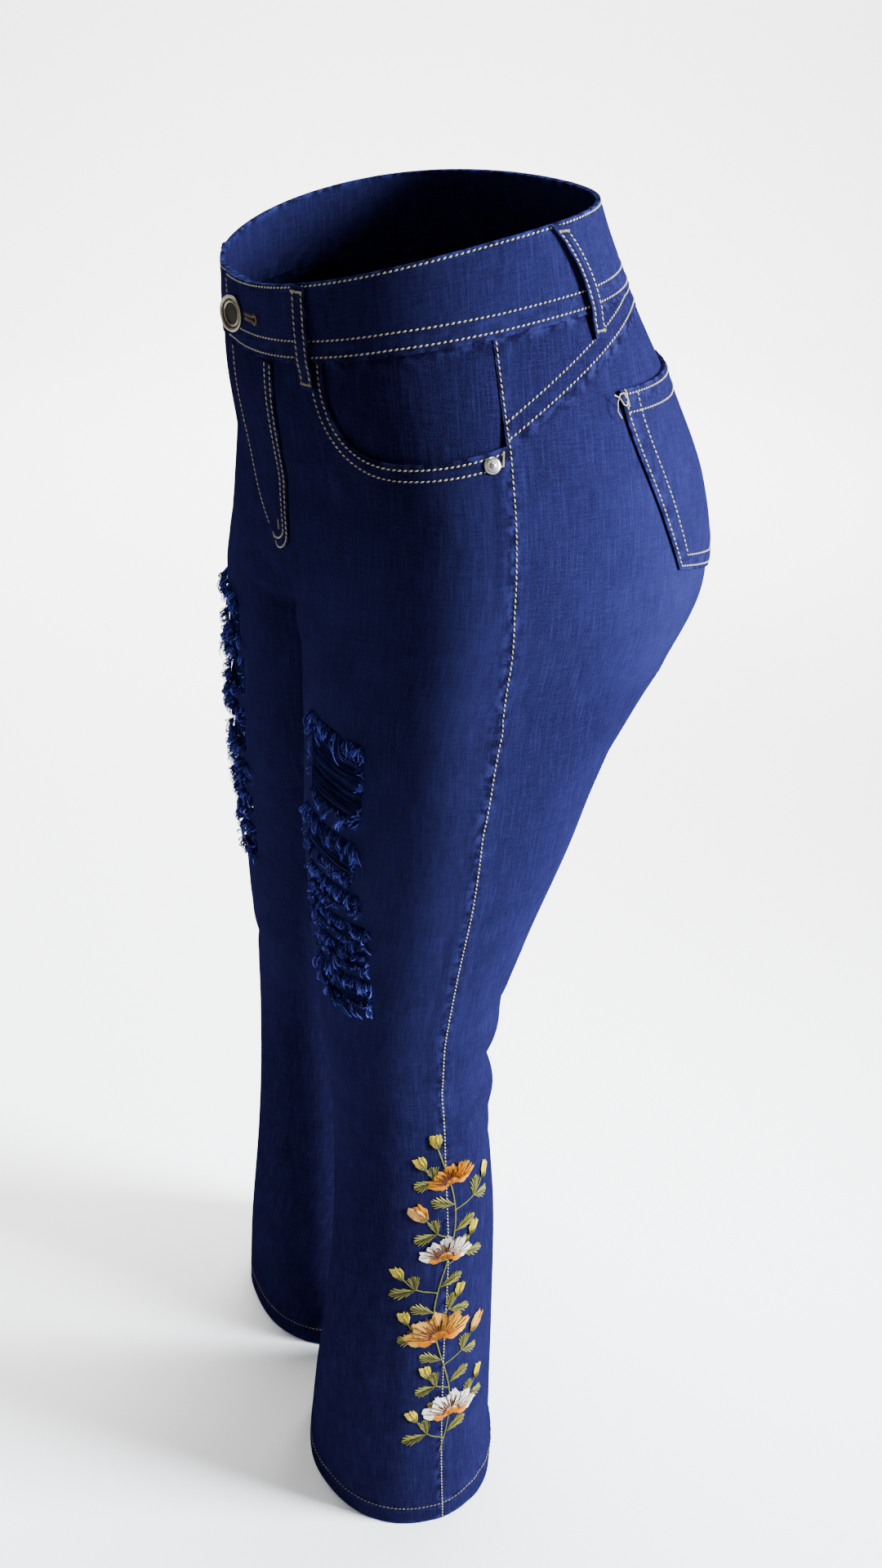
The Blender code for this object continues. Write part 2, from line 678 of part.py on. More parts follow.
def fray_strip(side, leg, finish):
    """A narrow strip along the upper edge of each tear and under the last, linked at the outer ends."""
    tears = TEARS[side]
    roots = [(upper + FRAY_ABOVE, start, end) for upper, _, start, end in tears]
    roots.append((tears[-1][1] - FRAY_BELOW, *tears[-1][2:]))
    turns, z, keep = [], [], []
    for root, start, end in roots:
        across = [*np.linspace(start, end, FRAY_LOCKS + 1), end + FRAY_LINK / front_length(root)]
        turns += [across, across]
        z += [[root + FRAY_STRIP] * len(across), [root] * len(across)]
        keep += [[True] * (FRAY_LOCKS + 1), [False] * FRAY_LOCKS + [True]]
    turns, z, keep = np.array(turns), np.array(z), np.array(keep[:-1])
    turns = front_place(turns, z)
    out = FRAY_WALL + PATCH_GAP
    return panel(f"fray_{side}", leg, turns, z, finish, wall=FRAY_WALL, out=out, keep=keep)


def frays(side, leg, finish):
    """The frays of one leg: torn warp that stands off the strips in tapered locks and hangs down."""
    draw = random.Random(11 + leg)
    strip = fray_strip(side, leg, finish)
    form = bmesh.new()
    form.from_mesh(strip.data)
    low = skin(leg, 0.6, CROTCH_Z, 0.0)
    away = Vector(skin(leg, 0.6, CROTCH_Z, 0.01) - low).normalized()
    roots = []
    for face in form.faces:
        ends = [vert.co.x for vert in face.verts]
        if face.normal.dot(away) > 0.5 and max(ends) - min(ends) > 1.4 * FRAY_LINK:
            roots.append(face)
    bmesh.ops.inset_individual(form, faces=roots, thickness=FRAY_INSET)
    tips = bmesh.ops.extrude_discrete_faces(form, faces=roots)["faces"]
    for share, narrow in ((0.45, 0.80), (1.0, 0.45)):
        for tip in tips:
            length = FRAY_LENGTH * draw.uniform(0.55, 1.0)
            lift = FRAY_LIFT * draw.uniform(0.6, 1.0) * share
            sway = draw.uniform(-0.0006, 0.0006)
            shift = (tip.normal if share < 1 else away) * lift + Vector((sway, 0, -length * 0.5))
            centre = tip.calc_center_median()
            for vert in tip.verts:
                vert.co = centre + (vert.co - centre) * narrow + shift
        if share < 1:
            tips = bmesh.ops.extrude_discrete_faces(form, faces=tips)["faces"]
    bmesh.ops.recalc_face_normals(form, faces=form.faces[:])
    form.to_mesh(strip.data)
    form.free()
    return strip


def clear_scene():
    for old in list(bpy.data.objects):
        bpy.data.objects.remove(old)
    bpy.context.scene.collection.children.link(bpy.data.collections.new("jeans"))


def build_jeans():
    clear_scene()
    denim = material("indigo_denim", (0.012, 0.028, 0.150), 0.85)
    denim_double = material("indigo_denim_double", (0.010, 0.022, 0.120), 0.85)
    torn = material("torn_denim_thread", (0.045, 0.085, 0.260), 0.95)
    brass = material("antique_brass", (0.20, 0.17, 0.12), 0.35, 1.0)
    nickel = material("nickel", (0.62, 0.61, 0.58), 0.28, 1.0)
    waistband(denim_double)
    fly(denim)
    for side, leg in SIDES.items():
        front_panel(side, leg, denim)
        back_panel(side, leg, denim)
        yoke(side, leg, denim)
        pocket_facing(side, leg, denim)
        back_pocket(side, leg, denim_double)
        rivet(side, leg, nickel)
        frays(side, leg, torn)
    for name, leg, top_turn, bottom_turn in LOOPS:
        belt_loop(name, leg, top_turn, bottom_turn, denim_double)
    button(brass)


build_jeans()
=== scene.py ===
# %% [markdown]
# # Bootcut jeans, sewn, ripped and embroidered
# A pair of jeans is a set of flat denim panels sewn into two tubes that meet above the crotch. Filled out,
# they are round, so every seam, stitch and flower here is placed on one curved surface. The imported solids
# give that surface plainly, and this script dresses it.

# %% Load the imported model
import math

import bpy
import numpy as np
from mathutils import Matrix, Vector
from mathutils.bvhtree import BVHTree


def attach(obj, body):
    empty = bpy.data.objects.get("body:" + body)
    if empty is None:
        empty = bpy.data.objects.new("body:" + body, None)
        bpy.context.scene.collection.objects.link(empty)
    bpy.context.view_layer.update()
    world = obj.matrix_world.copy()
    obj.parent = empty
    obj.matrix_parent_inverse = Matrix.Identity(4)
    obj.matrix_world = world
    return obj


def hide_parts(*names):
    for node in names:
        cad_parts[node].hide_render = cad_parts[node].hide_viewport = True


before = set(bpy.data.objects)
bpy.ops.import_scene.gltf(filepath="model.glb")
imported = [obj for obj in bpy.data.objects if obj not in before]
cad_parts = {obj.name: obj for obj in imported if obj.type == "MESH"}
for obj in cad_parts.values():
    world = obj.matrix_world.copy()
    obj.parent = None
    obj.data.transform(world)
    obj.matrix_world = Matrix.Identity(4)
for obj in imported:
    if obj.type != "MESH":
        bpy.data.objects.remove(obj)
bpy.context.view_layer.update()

print("packed nodes:", len(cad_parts))

# %% [markdown]
# ## The garment's own surface
# A tailor thinks of a leg as a run of sections, one above another. Here a section is a row of a table, and
# a place on the cloth has two numbers: how far round the leg it is, its turn, and its height. Turn 0 is the
# front middle or the inseam, 1 the side seam, 2 the back middle or the inseam. The same table is in the
# solids' own source, so what is made here lies on them with no fitting.

# %% Sizes shared with the solids
OUTSEAM = 1.04
CROTCH_Z = -0.268
CLOTH = 0.0013
SEAM_LAP = 0.0001
PATCH_GAP = 0.0007
HEM_TURN_UP = 0.018
BAND_WALL, BAND_PROUD = 0.0026, 0.0008
BAND_LAP, BAND_UNDERLAP = 0.015, 0.020
FLY_WIDTH, FLY_BOTTOM_Z, FLY_CURVE, FLY_LAP, FLY_WALL = 0.060, -0.210, 0.024, 0.004, 0.0010
LOOP_WIDTH, LOOP_WALL, LOOP_SLACK, LOOP_TOP, LOOP_TAIL = 0.0105, 0.0016, 0.0022, 0.0010, 0.0150
LOOP_BOW = 0.0078
BUTTON_TURN, BUTTON_DROP = 0.045, 0.51
RIVET_TURN, RIVET_DROP = 0.955, 0.0072
SECTIONS = (
    # height, reach, inner, middle, front, back
    (0.060, 0.1320, 0.0000, -0.0020, 0.1170, 0.1000),
    (0.020, 0.1351, 0.0000, -0.0008, 0.1177, 0.1105),
    (-0.045, 0.1438, 0.0000, 0.0038, 0.1175, 0.1407),
    (-0.100, 0.1620, 0.0000, 0.0038, 0.1146, 0.1738),
    (-0.160, 0.1843, 0.0000, 0.0028, 0.1024, 0.2009),
    (-0.220, 0.1980, 0.0000, -0.0029, 0.0897, 0.1980),
    (-0.270, 0.1994, 0.0008, -0.0121, 0.0807, 0.1654),
    (-0.330, 0.1975, 0.0036, -0.0110, 0.0805, 0.1280),
    (-0.400, 0.1888, 0.0090, -0.0101, 0.0817, 0.1048),
    (-0.480, 0.1729, 0.0230, -0.0121, 0.0743, 0.0816),
    (-0.560, 0.1618, 0.0403, -0.0133, 0.0679, 0.0615),
    (-0.640, 0.1639, 0.0508, -0.0084, 0.0654, 0.0562),
    (-0.740, 0.1687, 0.0509, -0.0024, 0.0695, 0.0599),
    (-0.860, 0.1733, 0.0390, -0.0021, 0.0734, 0.0655),
    (-0.960, 0.1820, 0.0212, -0.0023, 0.0786, 0.0707),
    (-1.070, 0.1930, 0.0060, 0.0010, 0.0870, 0.0748),
)
ROUNDNESS = 2.15
FORK_FRONT = (0.118, 1.15)
FORK_BACK = (0.150, 2.2)
WAIST_TILT, WAIST_SAG = 0.2327, -0.7692
BAND_HEIGHTS = (
    # turn, height
    (0.00, 0.0415), (0.45, 0.0445), (0.70, 0.0465), (1.00, 0.0510), (1.30, 0.0525), (2.00, 0.0500),
)
SEAM_STRAY = (
    # height, how far the side seam lies behind the widest point
    (-0.040, -0.0055), (-0.075, -0.0030), (-0.110, 0.0), (-0.200, 0.0005),
    (-0.240, 0.0040), (-0.275, 0.0085), (-0.310, 0.0040), (-0.350, 0.0),
)
SCOOP_START, SCOOP_LOWEST, SCOOP_DEPTH, SCOOP_POWER, SCOOP_RISE = 0.490, 0.690, 0.0485, 2.4, 0.0125
FACING_UNDER, FACING_CORNER, FACING_EDGE, FACING_RAMP = 0.012, 0.530, 0.455, 0.020
YOKE_SIDE, YOKE_MIDDLE_Z, YOKE_REACH, YOKE_POWER = 0.061, -0.048, 0.62, 1.6
POCKET_TOP = (1.328, 1.862, -0.0855)
POCKET_BOTTOM = (1.421, 1.785, -0.1950)
POCKET_POINT = 0.0135
LOOPS = (
    # name, leg, turn at the top and at the bottom
    ("loop_front_left", 1, 0.414, 0.440),
    ("loop_front_right", -1, 0.414, 0.440),
    ("loop_side_left", 1, 1.205, 1.312),
    ("loop_side_right", -1, 1.205, 1.312),
    ("loop_back", 1, 2.000, 2.000),
)
TEARS = {
    # height of the upper and the lower edge, turn of the inner and the outer end
    "left": (
        (-0.294, -0.350, 0.490, 0.710),
        (-0.368, -0.394, 0.470, 0.700),
        (-0.409, -0.422, 0.500, 0.715),
        (-0.435, -0.448, 0.500, 0.735),
        (-0.458, -0.470, 0.540, 0.745),
        (-0.483, -0.504, 0.520, 0.755),
    ),
    "right": (
        (-0.286, -0.318, 0.450, 0.700),
        (-0.333, -0.362, 0.430, 0.720),
        (-0.378, -0.410, 0.430, 0.725),
        (-0.425, -0.439, 0.420, 0.725),
        (-0.454, -0.467, 0.420, 0.740),
        (-0.482, -0.505, 0.410, 0.745),
    ),
}
SIDES = {"left": 1, "right": -1}

# %% [markdown]
# ## Folds and creases
# Denim that is worn creases where the body bends: across the back of the knee, below the seat, at the top
# of the thigh, and above the hem, where the cloth stands on its own. Each is a soft trough or ridge, given
# as one row of a table and pressed into the surface itself, so that seams and stitches bend with
# it. Displacement in a material would leave the stitches floating over the creases.

# %% Largest folds, which the solids have too, and finer creases
FOLDS = (
    # leg (0 both), turn, height, length, width, slope, depth (negative for a trough)
    (0, 1.45, -0.582, 0.075, 0.012, 0.10, -0.0052),
    (0, 1.40, -0.555, 0.070, 0.015, 0.12, 0.0034),
    (0, 1.45, -0.613, 0.070, 0.016, 0.02, 0.0036),
    (1, 1.60, -0.640, 0.050, 0.010, -0.25, -0.0030),
    (-1, 1.55, -0.645, 0.055, 0.010, 0.20, -0.0030),
    (0, 1.62, -0.302, 0.060, 0.018, 0.16, -0.0024),
    (1, 0.45, -0.600, 0.060, 0.014, -0.16, -0.0026),
    (-1, 0.55, -0.610, 0.060, 0.014, 0.18, -0.0026),
    (1, 1.35, -0.985, 0.055, 0.012, 0.55, -0.0028),
    (1, 1.55, -1.010, 0.045, 0.010, 0.50, -0.0024),
    (-1, 1.40, -0.990, 0.055, 0.012, 0.45, -0.0028),
    (1, 0.50, -0.960, 0.022, 0.110, 0.00, 0.0035),
    (-1, 0.60, -0.960, 0.022, 0.110, 0.00, 0.0035),
    (0, 0.16, -0.238, 0.055, 0.010, 0.30, -0.0022),
)
CREASES = (
    # behind the knee and below it
    (1, 1.30, -0.528, 0.045, 0.007, 0.22, -0.0019),
    (1, 1.72, -0.560, 0.030, 0.007, -0.30, -0.0016),
    (1, 1.25, -0.600, 0.032, 0.006, 0.30, -0.0018),
    (1, 1.68, -0.600, 0.034, 0.007, -0.22, 0.0013),
    (1, 1.35, -0.662, 0.040, 0.008, 0.26, -0.0013),
    (1, 1.75, -0.690, 0.036, 0.008, -0.35, -0.0012),
    (-1, 1.28, -0.535, 0.040, 0.007, 0.26, -0.0014),
    (-1, 1.66, -0.566, 0.036, 0.006, -0.24, -0.0015),
    (-1, 1.30, -0.606, 0.036, 0.007, 0.22, -0.0012),
    (-1, 1.70, -0.625, 0.034, 0.007, -0.30, 0.0012),
    (-1, 1.40, -0.676, 0.036, 0.009, 0.30, -0.0012),
    # under the seat and at the inner thigh
    (0, 1.80, -0.322, 0.036, 0.008, 0.30, -0.0015),
    (1, 1.40, -0.318, 0.045, 0.010, 0.20, -0.0010),
    (-1, 1.45, -0.325, 0.040, 0.009, 0.24, -0.0011),
    (0, 1.90, -0.352, 0.026, 0.009, 0.45, -0.0012),
    # short whiskers that spread from the crotch over the front
    (0, 0.30, -0.262, 0.048, 0.007, 0.16, -0.0012),
    (0, 0.22, -0.286, 0.040, 0.007, 0.05, -0.0011),
    (1, 0.42, -0.236, 0.040, 0.008, 0.26, -0.0008),
    (-1, 0.38, -0.240, 0.040, 0.008, 0.30, -0.0008),
    (0, 0.12, -0.312, 0.030, 0.008, -0.10, -0.0012),
    # the front of the knee
    (1, 0.30, -0.560, 0.036, 0.008, 0.20, -0.0018),
    (1, 0.62, -0.628, 0.040, 0.009, 0.22, -0.0010),
    (-1, 0.35, -0.566, 0.040, 0.008, -0.18, -0.0012),
    (-1, 0.40, -0.640, 0.036, 0.009, 0.14, -0.0010),
    # the flare over the hem
    (1, 1.78, -0.990, 0.034, 0.007, 0.48, -0.0020),
    (1, 1.26, -0.990, 0.034, 0.007, 0.80, -0.0032),
    (1, 1.40, -1.010, 0.028, 0.006, 0.62, 0.0030),
    (1, 1.16, -1.028, 0.020, 0.006, 0.70, -0.0016),
    (1, 1.18, -1.012, 0.022, 0.006, 0.40, -0.0010),
    (1, 0.80, -0.880, 0.012, 0.085, 0.00, -0.0018),
    (1, 1.30, -0.860, 0.014, 0.090, 0.00, 0.0016),
    (-1, 1.70, -0.985, 0.034, 0.008, 0.42, -0.0013),
    (-1, 0.85, -0.890, 0.012, 0.080, 0.00, -0.0018),
    (-1, 1.25, -0.870, 0.014, 0.085, 0.00, 0.0016),
    (0, 0.25, -0.870, 0.012, 0.090, 0.00, -0.0016),
    (0, 1.75, -0.850, 0.014, 0.100, 0.00, -0.0016),
)
print("folds:", len(FOLDS), "creases:", len(CREASES))

# %% Turn the table of sections into one surface for each leg
SURFACE_TOP, SURFACE_LOW, SURFACE_STEP = 0.060, -1.068, 0.002
SURFACE_COLUMNS, SURFACE_SAMPLES = 96, 240
HEIGHTS = np.arange(SURFACE_TOP, SURFACE_LOW, -SURFACE_STEP)
TURNS = np.linspace(0, 2, 2 * SURFACE_COLUMNS + 1)


def curve_between(f, start, end, leave, arrive):
    """A smooth curve from start to end for f from 0 to 1, which leaves and arrives at the given slopes."""
    return (
        (1 + 2 * f) * (1 - f) ** 2 * start + f * (1 - f) ** 2 * leave
        + f * f * (3 - 2 * f) * end + f * f * (f - 1) * arrive
    )


def smooth(x, table):
    """A smooth curve through a table whose first column falls, read at every x: all other columns."""
    rows = np.array(table)[::-1]
    knots, values = rows[:, 0], rows[:, 1:]
    slopes = np.gradient(values, knots, axis=0)
    below = np.clip(np.searchsorted(knots, x) - 1, 0, len(knots) - 2)
    step = (knots[below + 1] - knots[below])[:, None]
    f = (x - knots[below])[:, None] / step
    leave, arrive = step * slopes[below], step * slopes[below + 1]
    return curve_between(f, values[below], values[below + 1], leave, arrive)


def quarter_sections(sections, depth, fork, facing):
    """One quarter of every section, from the middle plane or the inseam out to the widest point."""
    reach, inner, middle = (sections[:, k, None] for k in range(3))
    drop, power = fork
    split = np.clip((CROTCH_Z + drop - HEIGHTS) / drop, 0, 1)[:, None] ** power
    on_leg = (HEIGHTS <= CROTCH_Z)[:, None]
    half = np.where(on_leg, (reach - inner) / 2, reach / (1 + split))
    centre = reach - half
    inward = np.arcsin(np.clip(centre / half, 0, 1) ** (ROUNDNESS / 2))
    start = np.where(on_leg, -math.pi / 2, -inward)
    angle = start + (math.pi / 2 - start) * np.linspace(0, 1, SURFACE_SAMPLES)
    sine = np.sign(np.sin(angle)) * np.abs(np.sin(angle)) ** (2 / ROUNDNESS)
    cosine = np.abs(np.cos(angle)) ** (2 / ROUNDNESS)
    x = centre + half * sine
    y = middle + facing * depth[:, None] * cosine
    z = np.broadcast_to(HEIGHTS[:, None], x.shape)
    return np.stack([x, y, z], -1)


def spaced_evenly(rows, count):
    """Each row of points read again at even steps along it, and each row's length."""
    steps = np.linalg.norm(np.diff(rows, axis=1), axis=-1)
    lengths = np.concatenate([np.zeros((len(rows), 1)), np.cumsum(steps, axis=1)], 1)
    even = np.linspace(0, 1, count)
    read = [
        np.stack([np.interp(even * along[-1], along, row[:, k]) for k in range(3)], -1)
        for row, along in zip(rows, lengths)
    ]
    return np.array(read), lengths[:, -1]


def unit(vectors):
    return vectors / np.linalg.norm(vectors, axis=-1, keepdims=True)


def outward(points):
    """The unit normal at each point of a grid whose rows go down and whose columns go front to back."""
    return unit(np.cross(np.gradient(points, axis=0), np.gradient(points, axis=1)))


def half_body():
    sections = smooth(HEIGHTS, SECTIONS)
    front = quarter_sections(sections, sections[:, 3], FORK_FRONT, -1)
    back = quarter_sections(sections, sections[:, 4], FORK_BACK, 1)
    front, front_lengths = spaced_evenly(front, SURFACE_COLUMNS + 1)
    back, back_lengths = spaced_evenly(back, SURFACE_COLUMNS + 1)
    return np.concatenate([front, back[:, ::-1][:, 1:]], 1), front_lengths, back_lengths


BODY, FRONT_LENGTHS, BACK_LENGTHS = half_body()
print("surface grid:", BODY.shape, "front quarter at the hip: %.0f mm" % (1000 * FRONT_LENGTHS[130]))


def front_length(z):
    return np.interp(-np.asarray(z), -HEIGHTS, FRONT_LENGTHS)


def back_length(z):
    return np.interp(-np.asarray(z), -HEIGHTS, BACK_LENGTHS)


def quarter_length(turn, z):
    """The length round the cloth of the quarter in which a turn lies."""
    return np.where(turn < 1, front_length(z), back_length(z))


def folded(leg):
    """The body's grid with the folds and creases of one leg pressed into it."""
    turn, z = np.meshgrid(TURNS, HEIGHTS)
    quarter = quarter_length(turn, z)
    push = np.zeros_like(z)
    for which, fold_turn, height, length, width, slope, depth in FOLDS + CREASES:
        if which in (0, leg):
            along = (turn - fold_turn) * quarter
            off = z - height - slope * along
            push += depth * np.exp(-((along / length) ** 2) - (off / width) ** 2)
    return BODY + push[..., None] * outward(BODY)


SURFACES = {leg: folded(leg) for leg in (1, -1)}
NORMALS = {leg: outward(surface) for leg, surface in SURFACES.items()}


# %% Places on the surface
def read_grid(grid, turn, z):
    """A grid over turns and heights, read between its points."""
    column = np.clip(turn / 2, 0, 1) * (grid.shape[1] - 1)
    row = np.clip((HEIGHTS[0] - z) / SURFACE_STEP, 0, len(HEIGHTS) - 1.001)
    left = np.minimum(column.astype(int), grid.shape[1] - 2)
    top = row.astype(int)
    f, g = (column - left)[..., None], (row - top)[..., None]
    upper = grid[top, left] * (1 - f) + grid[top, left + 1] * f
    lower = grid[top + 1, left] * (1 - f) + grid[top + 1, left + 1] * f
    return upper * (1 - g) + lower * g


def on_one_leg(turn):
    """Turns past the front or back middle, brought back as turns on the leg they reach."""
    turn = np.asarray(turn, float)
    return np.where(turn < 0, -turn, np.where(turn > 2, 4 - turn, turn))


def skin(leg, turn, z, out=0.0):
    """Points on the garment's outer face, moved out along the normal by out."""
    turn, z, out = np.broadcast_arrays(np.asarray(turn, float), np.asarray(z, float), out)
    over = (turn < 0) | (turn > 2)
    turn = on_one_leg(turn)
    points = np.empty(turn.shape + (3,))
    for half in (1, -1):
        here = np.where(over, -leg, leg) == half
        spot = read_grid(SURFACES[half], turn[here], z[here])
        normal = unit(read_grid(NORMALS[half], turn[here], z[here]))
        spot = spot + normal * out[here][:, None]
        spot[:, 0] -= SEAM_LAP
        points[here] = spot * (half, 1, 1)
    return points


def away_from(leg, turn, z):
    """The direction that faces away from the cloth."""
    return unit(skin(leg, turn, z, 0.001) - skin(leg, turn, z))


def waist_z(turn):
    """The height of the waistband's top edge at each turn."""
    turn = on_one_leg(turn)
    y = read_grid(BODY, turn, np.zeros_like(turn))[..., 1]
    return WAIST_TILT * y + WAIST_SAG * y * y


def band_height(turn):
    turns, heights = zip(*BAND_HEIGHTS)
    return np.interp(on_one_leg(turn), turns, heights)


def seam_z(turn):
    """The height of the seam under the waistband."""
    return waist_z(turn) - band_height(turn)


def scoop_z(turn):
    """The edge of the front pocket's mouth, a quarter curve down from the waist and then a slow rise."""
    turn = np.asarray(turn, float)
    near = np.clip((SCOOP_LOWEST - turn) / (SCOOP_LOWEST - SCOOP_START), 0, 1)
    fall = (1 - near**SCOOP_POWER) ** (1 / SCOOP_POWER)
    far = np.clip((turn - SCOOP_LOWEST) / (1 - SCOOP_LOWEST), 0, 1)
    return seam_z(SCOOP_START) - SCOOP_DEPTH * fall + SCOOP_RISE * far**1.5


def yoke_z(turn):
    """The yoke's lower edge."""
    far = np.clip((np.asarray(turn, float) - 1) / YOKE_REACH, 0, 1)
    return YOKE_MIDDLE_Z - YOKE_SIDE * (1 - far) ** YOKE_POWER


def side_turn(z):
    """The turn at which the side seam lies."""
    heights, strays = zip(*SEAM_STRAY)
    stray = np.interp(-np.asarray(z), [-height for height in heights], strays)
    return 1 + stray / quarter_length(1 + stray, z)


def front_place(share, z):
    """The turn of a place that lies this share of the way from the front middle to the side seam."""
    return share * side_turn(z)


def back_place(share, z):
    """The turn of a place that lies this share of the way from the side seam to the back middle."""
    start = side_turn(z)
    return start + share * (2 - start)


def under_band(place, share):
    """The height of a panel's top edge, which laps a hair under the waistband."""
    return seam_z(place(share, seam_z(place(share, seam_z(1))))) + SEAM_LAP

# %% [markdown]
# ## Shader maths as plain expressions
# A denim is a few layers of noise and stripes, mixed by masks. Drawn by hand in the node editor that is a
# web of boxes; here a small class wraps a socket so that `1 - mask * 0.5` adds its own Math nodes. The
# other nodes come from one method that takes a node's type, its settings and its inputs.

# %% Nodes by their types, and sockets that understand Python's operators
def connect(tree, value, socket):
    """Links another socket to this one, or sets its value."""
    value = getattr(value, "socket", value)
    if isinstance(value, bpy.types.NodeSocket):
        tree.links.new(value, socket)
    else:
        socket.default_value = value


def add_node(tree, kind, settings, inputs):
    node = tree.nodes.new(kind)
    for name, value in (settings or {}).items():
        setattr(node, name, value)
    for name, value in (inputs or {}).items():
        connect(tree, value, node.inputs[name])
    return node


class Wire:
    """The output socket of a shader node."""

    def __init__(self, nodes, socket):
        self.nodes, self.socket = nodes, socket

    def __add__(self, other):
        return self.nodes.maths("ADD", self, other)

    def __sub__(self, other):
        return self.nodes.maths("SUBTRACT", self, other)

    def __rsub__(self, other):
        return self.nodes.maths("SUBTRACT", other, self)

    def __mul__(self, other):
        return self.nodes.maths("MULTIPLY", self, other)

    def __pow__(self, other):
        return self.nodes.maths("POWER", self, other)

    __radd__, __rmul__ = __add__, __mul__

    def wave(self):
        """A sine of this value, from 0 to 1."""
        return self.nodes.maths("SINE", self) * 0.5 + 0.5

    def between(self, low, high):
        """0 below low, 1 above high and smooth in between."""
        settings = {"interpolation_type": "SMOOTHSTEP"}
        return self.nodes.add("ShaderNodeMapRange", settings, {0: self, 1: low, 2: high})


class Finish:
    """A material whose nodes are added by add, maths and mix."""

    def __init__(self, name, roughness, metallic=0.0, **constants):
        self.material = bpy.data.materials.new(name)
        self.material.use_nodes = True
        self.tree = self.material.node_tree
        self.shader = self.tree.nodes["Principled BSDF"]
        self.set("Roughness", roughness)
        self.set("Metallic", metallic)
        for socket, value in constants.items():
            self.set(socket.replace("_", " "), value)

    def set(self, socket, value):
        connect(self.tree, value, self.shader.inputs[socket])

    def add(self, kind, settings=None, inputs=None, output=0):
        return Wire(self, add_node(self.tree, kind, settings, inputs).outputs[output])

    def maths(self, operation, *values):
        return self.add("ShaderNodeMath", {"operation": operation}, dict(enumerate(values)))

    def mix(self, factor, first, second):
        """A colour between two colours. Mix's colour sockets are its seventh, eighth and third."""
        first, second = (c if isinstance(c, Wire) else (*c, 1) for c in (first, second))
        settings = {"data_type": "RGBA"}
        return self.add("ShaderNodeMix", settings, {0: factor, 6: first, 7: second}, output=2)

    def noise(self, vector, scale, detail=2.0, roughness=0.5):
        inputs = {"Vector": vector, "Scale": scale, "Detail": detail, "Roughness": roughness}
        return self.add("ShaderNodeTexNoise", None, inputs)

    def uv(self, stretch=(1, 1, 1)):
        """The piece's own UV map, in metres on the cloth, stretched."""
        flat = self.add("ShaderNodeUVMap", {"uv_map": "cloth"})
        return self.add("ShaderNodeMapping", None, {"Vector": flat, "Scale": stretch})

    def solid(self):
        return self.add("ShaderNodeTexCoord", output="Object")

    def attribute(self, name):
        return self.add("ShaderNodeAttribute", {"attribute_name": name}, output="Fac")

    def bump(self, height, distance):
        inputs = {"Height": height, "Distance": distance, "Strength": 1.0}
        self.set("Normal", self.add("ShaderNodeBump", None, inputs))


# %% [markdown]
# ## Indigo denim
# Denim is a twill: the dyed warp passes over three white weft threads at a time, which draws fine diagonal
# wales. Its yarns are slubbed, so fine upright streaks run through it. It is washed, so the thighs, the
# seat and every raised edge beside a seam are paler, and the folds stay dark. The pale patches on the back
# of the hips, thighs and calves are partly painted light as well: they are paler where the key light falls.
# The masks for seams and fades are worked out on the surface and kept as attributes on each panel; noise
# breaks them up.

# %% The denim's recipe
WALE = 0.00072
DEEP_INDIGO = (0.0016, 0.0012, 0.0044)
INDIGO = (0.0036, 0.0031, 0.0165)
WASH_AND_LIGHT_BLUE = (0.0190, 0.0200, 0.0840)
BARED = (0.0240, 0.0330, 0.1500)


def denim(name, wash_and_light_strength):
    deep, pale = DEEP_INDIGO, WASH_AND_LIGHT_BLUE
    cloth = Finish(name, 0.85, Specular_IOR_Level=0.0)
    upright = cloth.noise(cloth.uv((1, 0.045, 1)), 1500, 3, 0.6)
    weft = cloth.noise(cloth.uv((0.06, 1, 1)), 1300, 2, 0.5)
    mottle = cloth.noise(cloth.uv(), 26, 4, 0.6)
    grain = cloth.noise(cloth.uv(), 900, 3, 0.7)
    u, v = (cloth.add("ShaderNodeSeparateXYZ", None, {0: cloth.uv()}, output=k) for k in (0, 1))
    wales = ((u + v * 0.9) * (2 * math.pi / WALE) + grain * 1.2).wave()
    seam = cloth.attribute("seam")
    fade = cloth.attribute("fade")
    rope = cloth.noise(cloth.uv(), 130, 2, 0.6)
    # the pale patches are partly wash and partly painted light, paler on the back of the legs where the key
    # light falls
    paled_by_wash_and_light = fade * wash_and_light_strength * (0.55 + mottle * 0.9) + seam**2 * rope.between(0.44, 0.72) * 0.50
    body = cloth.mix(mottle.between(0.25, 0.80) * 0.40 + 0.50, deep, INDIGO)
    speckle = (upright * 0.6 + weft * 0.4).between(0.42, 0.66)
    body = cloth.mix(speckle * (0.19 + fade * 0.22), body, pale)
    thick_warp = cloth.noise(cloth.uv((1, 0.05, 1)), 620, 2, 0.6)
    thick_weft = cloth.noise(cloth.uv((0.08, 1, 1)), 480)
    slub = thick_warp * 0.8 + thick_weft * 0.2
    body = cloth.mix(slub.between(0.46, 0.70) * 0.19, body, pale)
    body = cloth.mix(grain.between(0.47, 0.62) * 0.18, body, pale)
    body = cloth.mix(paled_by_wash_and_light, body, pale)
    body = cloth.mix(seam**2 * (1 - rope).between(0.46, 0.60) * 0.60, body, deep)
    body = cloth.mix(wales * 0.16, body, deep)
    body = cloth.mix(cloth.attribute("torn") * grain.between(0.35, 0.6) * 0.15, body, BARED)
    body = cloth.mix(cloth.attribute("edge") * rope.between(0.4, 0.65) * 0.35, body, BARED)
    cloth.set("Base Color", body)
    cloth.set("Roughness", 0.80 + mottle * 0.12)
    cloth.bump(wales * 0.35 + upright * 0.3 + grain * 0.35 + rope * seam * 3.0, 0.00022)
    return cloth.material


DENIM = denim("indigo_stretch_denim", 0.50)
DENIM_DOUBLE = denim("indigo_denim_sewn_double", 0.42)
print("denim:", len(DENIM.node_tree.nodes), "nodes")


